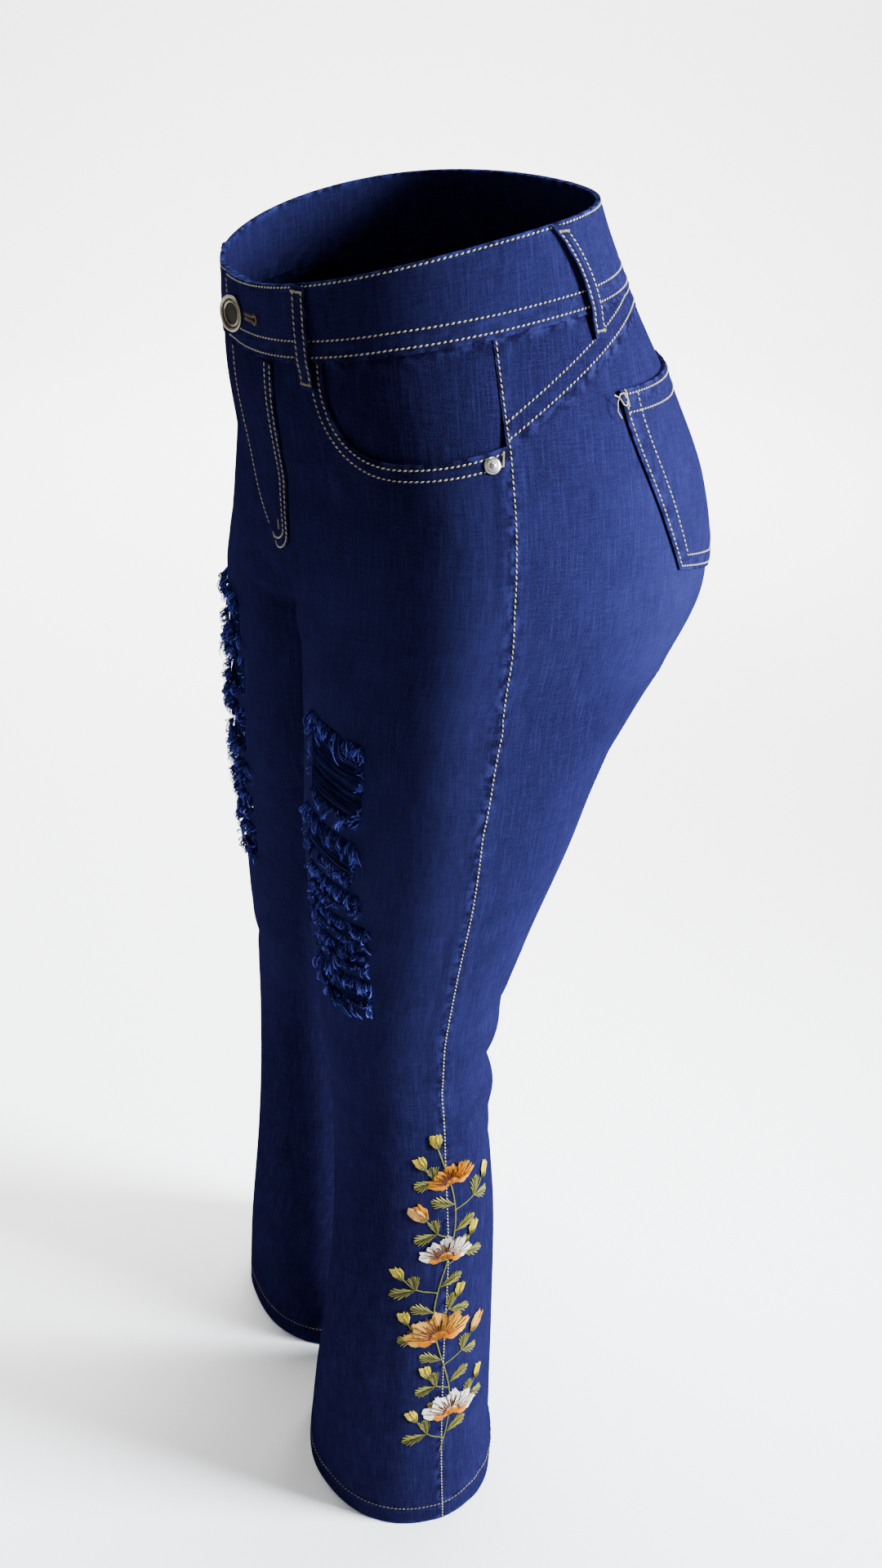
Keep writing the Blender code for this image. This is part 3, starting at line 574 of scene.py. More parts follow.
# %% Thread, and the torn yarns of the rips
def thread(name, colour, shade, roughness=0.7):
    """Twisted thread: fine plies, and a little unevenness of colour from place to place."""
    yarn = Finish(name, roughness, Specular_IOR_Level=0.12)
    ply = yarn.noise(yarn.solid(), 2600, 2, 0.6)
    uneven = yarn.noise(yarn.solid(), 210, 2, 0.5)
    bright = ply.between(0.35, 0.7) * 0.7 + uneven.between(0.4, 0.7) * 0.3
    yarn.set("Base Color", yarn.mix(bright, shade, colour))
    yarn.bump(ply, 0.0001)
    return yarn.material


def tinted(name, root, tip, roughness, gloss):
    """Yarn whose colour runs between two by its own tint, which differs from yarn to yarn."""
    yarn = Finish(name, roughness, Specular_IOR_Level=gloss)
    uneven = yarn.noise(yarn.solid(), 900, 2, 0.6)
    yarn.set("Base Color", yarn.mix(yarn.attribute("tint") + (uneven - 0.5) * 0.5, root, tip))
    return yarn.material


TOPSTITCH = thread("topstitch_thread", (0.350, 0.320, 0.225), (0.160, 0.138, 0.090))
HEM_THREAD = thread("hem_thread", (0.200, 0.175, 0.125), (0.085, 0.072, 0.050))
BARTACK = thread("bartack_thread", (0.240, 0.210, 0.135), (0.090, 0.075, 0.046))
BUTTONHOLE = thread("buttonhole_thread", (0.090, 0.062, 0.034), (0.034, 0.021, 0.010))
TORN = tinted("torn_indigo_yarn", (0.0022, 0.0024, 0.0150), (0.1500, 0.1700, 0.8500), 0.90, 0.0)
WEFT = tinted("bared_weft_yarn", (0.0028, 0.0028, 0.0150), (0.0120, 0.0130, 0.0620), 0.90, 0.0)
print("finishes so far:", len(bpy.data.materials))

# %% [markdown]
# ## Panels of cloth
# Each panel is a closed shell: an outer face, an inner face one cloth thickness below it, and the cut edge
# between them, which shows at the waist, the hems, the pocket mouths and the rips. The faces are a fine
# grid over turns and heights. Where a seam is felled, the cloth lies double under the stitches, so a strip
# beside each seam stands a little proud: that ridge is what catches the light along a real seam.


def piece_from(name, points, faces, material):
    """A smooth visible piece, with its place in its mesh."""
    mesh = bpy.data.meshes.new(name)
    mesh.from_pydata(points, [], faces)
    mesh.materials.append(material)
    mesh.shade_smooth()
    made = bpy.data.objects.new(name, mesh)
    bpy.context.scene.collection.objects.link(made)
    return made


def shell_faces(keep, flip):
    """Outer, inner and rim faces of a shell over a grid of cells, some of them left out."""
    rows, columns = keep.shape
    index = np.arange((rows + 1) * (columns + 1)).reshape(rows + 1, columns + 1)
    a, b, c, d = index[:-1, :-1], index[1:, :-1], index[1:, 1:], index[:-1, 1:]
    outer = np.stack([a, b, c, d], -1)[keep]
    below = index.size
    faces = [outer, outer[:, ::-1] + below]
    padded = np.pad(keep, 1)
    for start, end, down, across in ((a, b, 0, -1), (b, c, 1, 0), (c, d, 0, 1), (d, a, -1, 0)):
        beside = padded[1 + down : 1 + down + rows, 1 + across : 1 + across + columns]
        bare = keep & ~beside
        s, e = start[bare], end[bare]
        faces.append(np.stack([e, s, s + below, e + below], -1))
    faces = np.concatenate(faces)
    return faces[:, ::-1] if flip else faces


def cloth_size(points):
    """The longest row, the longest column and the area of a grid of points, as if laid flat."""
    across = np.linalg.norm(np.diff(points, axis=1), axis=-1)
    down = np.linalg.norm(np.diff(points, axis=0), axis=-1)
    sides = np.diff(points, axis=1)[:-1], np.diff(points, axis=0)[:, :-1]
    area = np.linalg.norm(np.cross(*sides), axis=-1).sum()
    return across.sum(1).max(), down.sum(0).max(), area


def shell(node, leg, outer, inner, cloth_uv, masks, material, keep=None):
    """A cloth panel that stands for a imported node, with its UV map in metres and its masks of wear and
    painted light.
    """
    rows, columns = outer.shape[:2]
    if keep is None:
        keep = np.ones((rows - 1, columns - 1), bool)
    faces = shell_faces(keep, leg < 0)
    used = np.unique(faces)
    renumber = np.zeros(2 * rows * columns, int)
    renumber[used] = np.arange(len(used))
    points = np.concatenate([outer.reshape(-1, 3), inner.reshape(-1, 3)])[used]
    made = piece_from(f"{node}_cloth", points.tolist(), renumber[faces].tolist(), material)
    mesh = made.data
    flat = np.tile(cloth_uv.reshape(-1, 2), (2, 1))[used]
    corners = np.empty(len(mesh.loops), np.int32)
    mesh.loops.foreach_get("vertex_index", corners)
    layer = mesh.uv_layers.new(name="cloth")
    layer.data.foreach_set("uv", flat[corners].astype(np.float32).ravel())
    for mask in ("seam", "fade", "torn", "edge"):
        values = masks.get(mask, 0.0)
        spread = np.tile(np.broadcast_to(values, (rows, columns)).ravel(), 2)[used]
        mesh.attributes.new(mask, "FLOAT", "POINT").data.foreach_set("value", spread.astype(np.float32))
    mesh.set_sharp_from_angle(angle=math.radians(50))
    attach(made, "root")
    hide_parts(node)
    width, length, area = cloth_size(outer)
    flat_size = (round(float(width), 4), round(float(length), 4))
    area = min(float(area), 0.9999 * flat_size[0] * flat_size[1])
    print(f"{node}: {len(mesh.polygons)} faces, cut {1000 * width:.0f} x {1000 * length:.0f} mm")


def covering(node, leg, turns, z, out, under, masks, sewn_to, material=DENIM, keep=None, surface=skin):
    """A panel over a stretch of the garment's surface, between two distances from it."""
    outer, inner = surface(leg, turns, z, out), surface(leg, turns, z, under)
    shell(node, leg, outer, inner, flat_place(turns, z), masks, material, keep)


# %% Rows, columns and masks that the panels share
ROW_STEP = 0.0034
BESIDE_SEAM = (0.0, 0.0008, 0.0020, 0.0050, 0.0084, 0.0097)
FELL_WIDTH, FELL_LIFT = 0.0090, 0.0005
POCKET_ROWS_END = -0.140
TEAR_ROWS_START = -0.262
HEM_TOP, HEM_STEP = HEM_TURN_UP - OUTSEAM, 0.0006
DRAWN_REACH, SEAM_REACH, RIM_REACH = 0.006, 0.006, 0.003
TORN_REACH, HEM_REACH, FOLD_REACH = 0.0035, 0.004, 0.0025
# pale patches: wash on the front; the rows at the side and the back, on the hip, thigh and calf, are partly
# painted light
WASH_AND_PAINTED_LIGHT_PATCHES = (
    # leg, turn, height, half width, half height, strength
    (0, 0.55, -0.400, 0.075, 0.160, 0.55),
    (0, 0.62, -0.200, 0.060, 0.060, 0.25),
    (0, 1.45, -0.200, 0.100, 0.100, 0.50),
    (0, 1.40, -0.420, 0.080, 0.140, 0.35),
    (0, 0.95, -0.330, 0.050, 0.180, 0.25),
    (0, 0.45, -0.620, 0.060, 0.070, 0.25),
    (0, 1.10, -0.900, 0.080, 0.120, 0.12),
)


def steps_between(stops, step):
    """Even steps from stop to stop, none of them much longer than step."""
    runs = [np.linspace(a, b, max(1, round(abs(b - a) / step)) + 1)[:-1] for a, b in zip(stops, stops[1:])]
    return np.concatenate([*runs, [stops[-1]]])


def graded(count, length, at_start=True, at_end=True):
    """Steps from 0 to 1 along a length, close together beside the seam at either end."""
    close = np.array(BESIDE_SEAM) / length
    start = close if at_start else np.array([0.0])
    end = 1 - close[::-1] if at_end else np.array([1.0])
    return np.concatenate([start, np.linspace(start[-1], end[0], count + 2)[1:-1], end])


def wash_and_painted_light_at(leg, turn, z):
    """How far the cloth is washed pale at each place, and painted paler on the back of the legs, where the
    key light falls.
    """
    quarter = quarter_length(turn, z)
    total = np.zeros(np.broadcast(turn, z).shape)
    for which, patch_turn, height, width, tall, strength in WASH_AND_PAINTED_LIGHT_PATCHES:
        if which in (0, leg):
            off = ((turn - patch_turn) * quarter / width) ** 2 + ((z - height) / tall) ** 2
            total = total + strength * np.exp(-off)
    return np.clip(total, 0, 1)


def ramp(x, low, high):
    """0 below low, 1 above high, and smooth between."""
    t = np.clip((x - low) / (high - low), 0, 1)
    return t * t * (3 - 2 * t)


def fell(distance):
    """How proud the cloth stands beside a seam, where it lies double."""
    return FELL_LIFT * (1 - ramp(distance, FELL_WIDTH - 0.0006, FELL_WIDTH + 0.0006))


def beside(distance, reach=SEAM_REACH):
    """1 at a seam, and fading away from it."""
    return np.exp(-((distance / reach) ** 2))


def to_seams(turns, z):
    """Turns whose two ends in each row move out a hair, so that panels close, but not onto the other leg."""
    length = np.where(turns[..., -1] > 1.5, back_length(z[..., -1]), front_length(z[..., -1]))
    turns = turns.copy()
    turns[..., 0] -= SEAM_LAP / length
    turns[..., -1] += SEAM_LAP / length
    return np.clip(turns, 0, 2)


def sewn_skin(leg, turns, z, out):
    """The skin under a whole panel, whose inner edge is drawn to the middle plane and to the inseam."""
    points = skin(leg, turns, z, out)
    end, column = (2.0, -1) if turns.max() > 1.5 else (0.0, 0)
    heights, edge_out = z[:, column], out[:, column]
    seam = (skin(leg, 0.0, heights, edge_out) + skin(leg, 2.0, heights, edge_out)) / 2
    above = heights > CROTCH_Z
    seam[above] = points[above, column]
    seam[above, 0] = -leg * SEAM_LAP
    step = seam - points[:, column]
    away = np.abs(turns - end) * back_length(z)
    return points + step[:, None] * beside(away, DRAWN_REACH)[..., None]


def worn_rim(distance):
    """How far a patch bends down beside its rim."""
    return 0.0004 * (1 - ramp(distance, 0, 0.0010))


def hem_wall(z):
    """The cloth's thickness at each height: the hem is turned up."""
    return np.where(z < HEM_TOP + HEM_STEP / 2, 2 * CLOTH, CLOTH)


def leg_masks(leg, turns, z, to_seam):
    """The wear of a whole leg's panel, with painted light on its back: pale beside the seams and the hem, and
    bared at the hem's fold.
    """
    return {
        "seam": np.maximum(beside(to_seam), beside(np.abs(z - HEM_TOP), HEM_REACH)),
        "fade": wash_and_painted_light_at(leg, turns, z),
        "edge": beside(z + OUTSEAM, FOLD_REACH),
    }


def flat_place(turn, z):
    """Where a place lies on the laid-out cloth, in metres from the side seam and from the waist."""
    return np.stack([(turn - 1) * quarter_length(turn, z), z], -1)


# %% [markdown]
# ## The legs
# The front panels are cut away in a scoop for the pockets and ripped through at the thighs. A grid can
# follow both: its columns slide with height, so that two of them run down the ends of the rips, and its
# rows stop at each rip's edges. The cells of the rips are left out, and their edges made ragged.

# %% The two front panels
EDGE_OF_POCKET = 0.72
RAGGED = 0.00066
UP_TO_TEARS = graded(30, 0.115, at_end=False)
OVER_TEARS = np.linspace(0, 1, 21)
PAST_TEARS = graded(16, 0.064, at_start=False)
FIRST_TORN = len(UP_TO_TEARS) - 1
LAST_TORN = FIRST_TORN + len(OVER_TEARS) - 1


def columns_between(start, end):
    """The turns of all columns at each height, given where the rips' ends are at that height."""
    start, end = np.asarray(start)[..., None], np.asarray(end)[..., None]
    over = start + (end - start) * OVER_TEARS[1:]
    return np.concatenate([start * UP_TO_TEARS, over, end + (1 - end) * PAST_TEARS[1:]], -1)


def torn_span(tears, z):
    """The turns of the inner and outer ends of the rips at a height, with smooth changes between."""
    knots = [(POCKET_ROWS_END, SCOOP_START, EDGE_OF_POCKET), (TEAR_ROWS_START, *tears[0][2:])]
    for upper, lower, start, end in tears:
        knots += [(upper, start, end), (lower, start, end)]
    knots.append((-0.620, 0.500, 0.730))
    heights, starts, ends = zip(*knots)
    below = [-height for height in heights]
    return np.interp(-z, below, starts), np.interp(-z, below, ends)


def ragged(leg, turn, number):
    """An uneven torn edge: a few sine waves of different pace, different for each rip."""
    wave = np.sin(turn * 97 + 5 * number + leg) + 0.6 * np.sin(turn * 231 + 3 * number)
    return RAGGED * wave


def front_panel(side, leg):
    tears = TEARS[side]
    shares = columns_between(SCOOP_START, EDGE_OF_POCKET)
    edge = np.where(shares <= SCOOP_START, under_band(front_place, shares), scoop_z(shares) + SEAM_LAP)
    top = np.linspace(0, 1, 22)[:-1, None]
    z = [edge * (1 - top) + POCKET_ROWS_END * top]
    turns = [np.broadcast_to(shares, z[0].shape)]
    tear_edges = [tear_edge for tear in tears for tear_edge in tear[:2]]
    stops = [POCKET_ROWS_END, TEAR_ROWS_START, *tear_edges, HEM_TOP + HEM_STEP, HEM_TOP, -OUTSEAM]
    rows = steps_between(stops, ROW_STEP)
    turns.append(columns_between(*torn_span(tears, rows)))
    z.append(np.broadcast_to(rows[:, None], turns[1].shape))
    z, turns = np.concatenate(z), np.concatenate(turns)
    keep = np.ones((len(z) - 1, z.shape[1] - 1), bool)
    torn = np.zeros(z.shape)
    torn_columns = slice(FIRST_TORN, LAST_TORN + 1)
    for number, (upper, lower, _, _) in enumerate(tears):
        first, last = (len(top) + int(np.argmin(np.abs(rows - edge_z))) for edge_z in (upper, lower))
        keep[first:last, FIRST_TORN:LAST_TORN] = False
        z[first, torn_columns] += ragged(leg, turns[first, torn_columns], number)
        z[last, torn_columns] += ragged(leg, turns[last, torn_columns], number + 9)
        off_z = np.maximum(z - upper, lower - z)
        off_turn = np.maximum(turns[first, FIRST_TORN] - turns, turns - turns[first, LAST_TORN])
        distance = np.hypot(np.maximum(off_z, 0), np.maximum(off_turn, 0) * front_length(z))
        torn = np.maximum(torn, beside(distance, TORN_REACH))
    to_seam = np.minimum(turns, 1 - turns) * front_length(z)
    to_top = np.where(turns[:1] < SCOOP_START + 0.01, 1.0, edge - z)
    distance = np.minimum(to_seam, np.where(np.arange(z.shape[0])[:, None] < len(top), to_top, 1.0))
    turns = to_seams(front_place(turns, z), z)
    lift = fell(np.minimum(turns * front_length(z), distance))
    masks = {**leg_masks(leg, turns, z, distance), "torn": torn}
    place = (f"front_{side}", leg, turns, z, lift, -hem_wall(z))
    covering(*place, masks, ["waistband"], keep=keep, surface=sewn_skin)


# %% The two back panels
def back_panel(side, leg):
    shares = graded(64, 0.250)
    edge = yoke_z(1 + shares) + SEAM_LAP
    top = np.linspace(0, 1, 18)[:-1, None]
    rows = steps_between([POCKET_ROWS_END, HEM_TOP + HEM_STEP, HEM_TOP, -OUTSEAM], ROW_STEP)[:, None]
    rows = np.broadcast_to(rows, (len(rows), len(shares)))
    z = np.concatenate([edge * (1 - top) + POCKET_ROWS_END * top, rows])
    turns = to_seams(back_place(shares, z), z)
    across = np.minimum(shares, 1 - shares) * back_length(z)
    masks = leg_masks(leg, turns, z, np.minimum(across, edge - z))
    place = (f"back_{side}", leg, turns, z, fell(across), -hem_wall(z))
    covering(*place, masks, ["waistband"], surface=sewn_skin)


# %% The yoke, and the cloth in the pocket's mouth
def yoke(side, leg):
    shares = graded(60, 0.230)
    upper, lower = under_band(back_place, shares), yoke_z(1 + shares)
    z = upper + (lower - upper) * graded(14, 0.050)[:, None]
    turns = to_seams(back_place(shares, z), z)
    across = np.minimum(shares, 1 - shares) * back_length(z)
    distance = np.minimum(across, np.minimum(upper - z, z - lower))
    lift = np.maximum(fell(across), fell(z - lower))
    masks = {"seam": beside(distance), "fade": wash_and_painted_light_at(leg, turns, z)}
    covering(f"yoke_{side}", leg, turns, z, lift, -CLOTH, masks, ["waistband"])


def pocket_facing(side, leg):
    shares = np.concatenate([np.linspace(FACING_EDGE, 0.60, 16)[:-1], np.linspace(0.60, 1, 30)])
    upper = under_band(front_place, shares)
    lower = scoop_z(np.maximum(shares, FACING_CORNER)) - FACING_UNDER
    z = upper + (lower - upper) * np.linspace(0, 1, 24)[:, None]
    into_mouth = np.minimum(z - scoop_z(shares), (shares - SCOOP_START) * front_length(z))
    sunk = -(CLOTH + PATCH_GAP) * (1 - np.clip(into_mouth / FACING_RAMP, 0, 1))
    turns = to_seams(front_place(shares, z), z)
    masks = {"seam": beside(upper - z), "fade": wash_and_painted_light_at(leg, turns, z) * 0.4}
    held_by = ["waistband", f"front_{side}"]
    covering(f"pocket_facing_{side}", leg, turns, z, sunk, sunk - CLOTH, masks, held_by)


# %% [markdown]
# ## The waistband
# A shaped waistband is two layers of denim, cut in a curve so that it is taller over the hips. It starts
# under the fly on the right, goes all the way round, and ends in a lap that carries the buttonhole. One
# grid can follow it, with turns that run past the front middle at both ends.

# %% The waistband
BAND_TALL, BAND_ROW = 0.045, 6


def band_path(count):
    """Turns along the band from its hidden right end to its lap, and the leg each one lies on."""
    path = np.linspace(-BAND_UNDERLAP / front_length(0), 4 + BAND_LAP / front_length(0), count)
    return path, np.where(path < 2, -1, 1), np.where(path < 2, path, 4 - path)


def length_along(points):
    """How far along a line of points each of them lies."""
    return np.concatenate([[0], np.cumsum(np.linalg.norm(np.diff(points, axis=0), axis=-1))])


def band_skin(turns, z, out, leg):
    return np.where((leg == 1)[..., None], skin(1, turns, z, out), skin(-1, turns, z, out))


def waistband():
    path, leg, turn = band_path(300)
    down = graded(10, BAND_TALL)[:, None]
    z = waist_z(turn) - band_height(turn) * down
    turns = np.broadcast_to(turn, z.shape)
    under = 1 - np.clip((path - 0.07) / 0.10, 0, 1)
    out = BAND_PROUD - (BAND_WALL + 0.0006) * under
    plump = 0.0005 * (1 - sum(np.exp(-(((down - row) / 0.035) ** 2)) for row in (0.04, 0.72, 0.92)))
    legs = np.broadcast_to(leg, z.shape)
    outer, inner = band_skin(turns, z, out + plump, legs), band_skin(turns, z, out - BAND_WALL, legs)
    length = length_along(outer[BAND_ROW])
    edge = np.minimum(down, 1 - down) * band_height(turn)
    masks = {
        "seam": np.maximum(beside(edge, RIM_REACH), 0.6 * beside((down - 0.82) * BAND_TALL)),
        "fade": 0.25 * np.ones_like(z),
        "edge": beside(down * BAND_TALL, 0.0016),
    }
    cloth_uv = np.stack([np.broadcast_to(length, z.shape), -down * band_height(turn)], -1)
    shell("waistband", -1, outer, inner, cloth_uv, masks, DENIM_DOUBLE)


# %% [markdown]
# ## What is sewn on top
# The fly, the back pockets and the belt loops lie on the panels. Each is made from the places it covers,
# moved out by the thickness below it, so that it hugs the body as a patch does.

# %% The fly
FLY_OUT = FLY_WALL + PATCH_GAP


def fly_width(z):
    """The fly's width at a height: straight, then a quarter round at the bottom."""
    low = np.clip((FLY_BOTTOM_Z + FLY_CURVE - z) / FLY_CURVE, 0, 1)
    return np.maximum(FLY_WIDTH * np.sqrt(1 - low**2), FLY_LAP)


def fly():
    top = float(under_band(front_place, np.array(0.0)))
    straight = np.linspace(top, FLY_BOTTOM_Z + FLY_CURVE, 44)
    bend = FLY_BOTTOM_Z + FLY_CURVE * (1 - np.sin(np.linspace(0, math.pi / 2, 16)[1:]))
    z = np.concatenate([straight, bend])[:, None]
    reach = -FLY_LAP + (fly_width(z) + FLY_LAP) * graded(18, FLY_WIDTH)
    z = np.broadcast_to(z, reach.shape)
    turns = reach / front_length(z)
    distance = np.minimum(reach + FLY_LAP, fly_width(z) - reach)
    out = FLY_OUT - worn_rim(distance)
    masks = {"seam": beside(distance, RIM_REACH), "fade": wash_and_painted_light_at(1, turns, z)}
    covering("fly", 1, turns, z, out, FLY_OUT - FLY_WALL, masks, ["front_left"])


# %% The back pockets
POCKET_OUT = CLOTH + PATCH_GAP
POCKET_ACROSS, POCKET_DOWN = 0.125, 0.115


def pocket_place(across, down):
    """A place on a back pocket, from its left edge to its right and from its top to its bottom."""
    left = POCKET_TOP[0] + (POCKET_BOTTOM[0] - POCKET_TOP[0]) * down**1.5
    right = POCKET_TOP[1] + (POCKET_BOTTOM[1] - POCKET_TOP[1]) * down
    bottom = POCKET_BOTTOM[2] - POCKET_POINT * (1 - np.abs(2 * across - 1))
    return left + (right - left) * across, POCKET_TOP[2] + (bottom - POCKET_TOP[2]) * down


def back_pocket(side, leg):
    across, down = np.meshgrid(graded(36, POCKET_ACROSS), graded(34, POCKET_DOWN))
    turns, z = pocket_place(across, down)
    from_side = np.minimum(across, 1 - across) * POCKET_ACROSS
    distance = np.minimum(from_side, (1 - down) * POCKET_DOWN)
    rim = np.minimum(distance, down * POCKET_DOWN)
    mouth = 0.0012 * np.exp(-((down * POCKET_DOWN / 0.010) ** 2))
    out = POCKET_OUT + mouth - worn_rim(rim)
    masks = {
        "seam": np.maximum(beside(rim, RIM_REACH), 0.8 * beside(rim - 0.0065, 0.0035)),
        "fade": 0.4 * wash_and_painted_light_at(leg, turns, z) + 0.15,
    }
    place = (f"back_pocket_{side}", leg, turns, z, out, POCKET_OUT - CLOTH)
    covering(*place, masks, [f"back_{side}"], DENIM_DOUBLE)


# %% The belt loops
def loop_place(top_turn, bottom_turn, across, down):
    """A place on a belt loop and how far out its top face is there. across is in metres from its middle.

    The loops at the sides bow a little towards the back.
    """
    turn = top_turn + (bottom_turn - top_turn) * down
    if 0.7 < top_turn < 1.5:
        turn = turn + LOOP_BOW * np.sin(math.pi * down**0.8) / float(back_length(-0.03))
    upper, lower = waist_z(top_turn) - LOOP_TOP, seam_z(bottom_turn) - LOOP_TAIL
    z = upper + (lower - upper) * down
    turn = turn + across / quarter_length(turn, z)
    seat = BAND_PROUD * np.clip((z - seam_z(turn) + 0.004) / 0.004, 0, 1)
    return turn, z, seat + PATCH_GAP + LOOP_SLACK * np.sin(math.pi * down) ** 0.8 + LOOP_WALL


def belt_loop(name, leg, top_turn, bottom_turn):
    across, down = np.meshgrid(np.linspace(-0.5, 0.5, 13) * LOOP_WIDTH, np.linspace(0, 1, 48))
    turns, z, out = loop_place(top_turn, bottom_turn, across, down)
    rounded = 0.0005 * (2 * across / LOOP_WIDTH) ** 6
    hollow = 0.00035 * np.cos(4 * math.pi * across / LOOP_WIDTH)
    outer = skin(leg, turns, z, out - rounded + hollow)
    inner = skin(leg, turns, z, out - LOOP_WALL)
    masks = {"seam": 0.9 * np.abs(2 * across / LOOP_WIDTH) ** 2, "fade": 0.3 * np.ones_like(z)}
    cloth_uv = np.stack([across, z], -1)
    shell(name, leg, outer, inner, cloth_uv, masks, DENIM_DOUBLE)


# %% Sew the panels into a pair of jeans
for side, leg in SIDES.items():
    front_panel(side, leg)
    back_panel(side, leg)
    yoke(side, leg)
    pocket_facing(side, leg)
    back_pocket(side, leg)
for name, leg, top_turn, bottom_turn in LOOPS:
    belt_loop(name, leg, top_turn, bottom_turn)
fly()
waistband()


# %% [markdown]
# ## Thread laid on the cloth
# Every seam of a pair of jeans is held by rows of heavy topstitching, about seven stitches to the inch.
# Drawing thousands of them by hand would be hopeless, so one Geometry Nodes tree lays a stitch at every
# point of a layout, and another spins a round yarn along every line of one. The layout itself is found
# by dropping each point onto the finished cloth, so a stitch follows every fold that it crosses.

# %% Two trees of geometry nodes
class Tree:
    """A Geometry Nodes tree with named inputs, which turns a layout into threads."""

    def __init__(self, name, inputs):
        self.group = bpy.data.node_groups.new(name, "GeometryNodeTree")
        sockets = self.group.interface
        sockets.new_socket("Layout", in_out="INPUT", socket_type="NodeSocketGeometry")
        self.identifiers = {}
        for label, kind in inputs.items():
            self.identifiers[label] = sockets.new_socket(label, in_out="INPUT", socket_type=kind).identifier
        sockets.new_socket("Threads", in_out="OUTPUT", socket_type="NodeSocketGeometry")
        self.given = self.group.nodes.new("NodeGroupInput").outputs
        self.result = self.group.nodes.new("NodeGroupOutput").inputs["Threads"]

    def add(self, kind, settings=None, inputs=None):
        """The first output that is in use of a new node."""
        node = add_node(self.group, kind, settings, inputs)
        return next(socket for socket in node.outputs if socket.enabled)

    def field(self, name, kind="FLOAT_VECTOR"):
        return self.add("GeometryNodeInputNamedAttribute", {"data_type": kind}, {"Name": name})

    def finish(self, geometry):
        """Ends the tree: real geometry, smooth, in the finish that it is given."""
        real = self.add("GeometryNodeRealizeInstances", None, {"Geometry": geometry})
        even = self.add("GeometryNodeSetShadeSmooth", None, {"Geometry": real})
        done = self.add("GeometryNodeSetMaterial", None, {"Geometry": even, "Material": self.given["Finish"]})
        self.group.links.new(done, self.result)
        return self


def stitch_tree():
    """One small capsule of thread at every point, laid along one direction and facing another."""
    whole = "NodeSocketInt"
    tree = Tree("laid_stitches", {"Sides": whole, "Rings": whole, "Finish": "NodeSocketMaterial"})
    shape = {"Segments": tree.given["Sides"], "Rings": tree.given["Rings"], "Radius": 0.5}
    capsule = tree.add("GeometryNodeMeshUVSphere", None, shape)
    axes = {"Primary Axis": tree.field("along"), "Secondary Axis": tree.field("away")}
    turned = tree.add("FunctionNodeAxesToRotation", {"primary_axis": "X", "secondary_axis": "Z"}, axes)
    laid = {"Points": tree.given["Layout"], "Instance": capsule, "Rotation": turned}
    laid["Scale"] = tree.field("size")
    return tree.finish(tree.add("GeometryNodeInstanceOnPoints", None, laid))


def yarn_tree():
    """A round yarn along every line, as thick as each point of the line says."""
    tree = Tree("spun_yarns", {"Sides": "NodeSocketInt", "Finish": "NodeSocketMaterial"})
    line = tree.add("GeometryNodeMeshToCurve", None, {"Mesh": tree.given["Layout"]})
    ring = {"Resolution": tree.given["Sides"], "Radius": 1.0}
    ring = tree.add("GeometryNodeCurvePrimitiveCircle", {"mode": "RADIUS"}, ring)
    spun = {"Curve": line, "Profile Curve": ring, "Scale": tree.field("thick", "FLOAT"), "Fill Caps": True}
    return tree.finish(tree.add("GeometryNodeCurveToMesh", None, spun))


STITCHES, YARNS = stitch_tree(), yarn_tree()


def grown(name, tree, points, edges, attributes, settings):
    """Runs a tree over a layout and keeps the result as a plain mesh that rides the garment."""
    layout = bpy.data.meshes.new(f"{name}_layout")
    layout.from_pydata(np.asarray(points).tolist(), edges, [])
    for label, values in attributes.items():
        values = np.asarray(values, np.float32)
        kind, slot = ("FLOAT", "value") if values.ndim == 1 else ("FLOAT_VECTOR", "vector")
        layout.attributes.new(label, kind, "POINT").data.foreach_set(slot, values.ravel())
    made = bpy.data.objects.new(name, layout)
    bpy.context.scene.collection.objects.link(made)
    modifier = made.modifiers.new("threads", "NODES")
    modifier.node_group = tree.group
    for label, value in settings.items():
        modifier[tree.identifiers[label]] = value
    mesh = bpy.data.meshes.new_from_object(made.evaluated_get(bpy.context.evaluated_depsgraph_get()))
    made.modifiers.remove(modifier)
    made.data = mesh
    mesh.name = name
    bpy.data.meshes.remove(layout)
    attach(made, "root")
    print(f"{name}: {len(points)} points, {sum(len(face.vertices) - 2 for face in mesh.polygons)} triangles")
    return made


# %% Drop points onto the finished cloth
SEAT_ABOVE, SEAT_REACH = 0.010, 0.020
CLOTH_TREES = {}


def cloth_tree(node):
    if node not in CLOTH_TREES:
        cloth = bpy.data.objects[f"{node}_cloth"]
        CLOTH_TREES[node] = BVHTree.FromObject(cloth, bpy.context.evaluated_depsgraph_get())
    return CLOTH_TREES[node]


def seated(cloths, points, away):
    """Points moved along away until they lie on the outermost of the named cloths."""
    placed = np.array(points, float)
    trees = [cloth_tree(node) for node in cloths]
    for k, (point, out) in enumerate(zip(points, away)):
        out = Vector(out)
        start = Vector(point) + out * SEAT_ABOVE
        hits = [tree.ray_cast(start, -out, SEAT_REACH) for tree in trees]
        reach = [hit[3] for hit in hits if hit[0] is not None]
        if reach:
            placed[k] = start - out * min(reach)
    return placed


def laid_on(cloths, leg, turns, z, out=0.0):
    """Points on the named cloths, and the direction away from the cloth at each."""
    away = away_from(leg, turns, z)
    return seated(cloths, skin(leg, turns, z, out), away), away


def moved_beside(turns, z, offset):
    """A line on the cloth moved sideways by a distance, to the left of the way it runs."""
    turns, z = np.broadcast_arrays(np.asarray(turns, float), np.asarray(z, float))
    quarter = quarter_length(turns, z)
    along, down = np.gradient(turns) * quarter, np.gradient(z)
    length = np.hypot(along, down)
    return turns - offset * down / length / quarter, z + offset * along / length


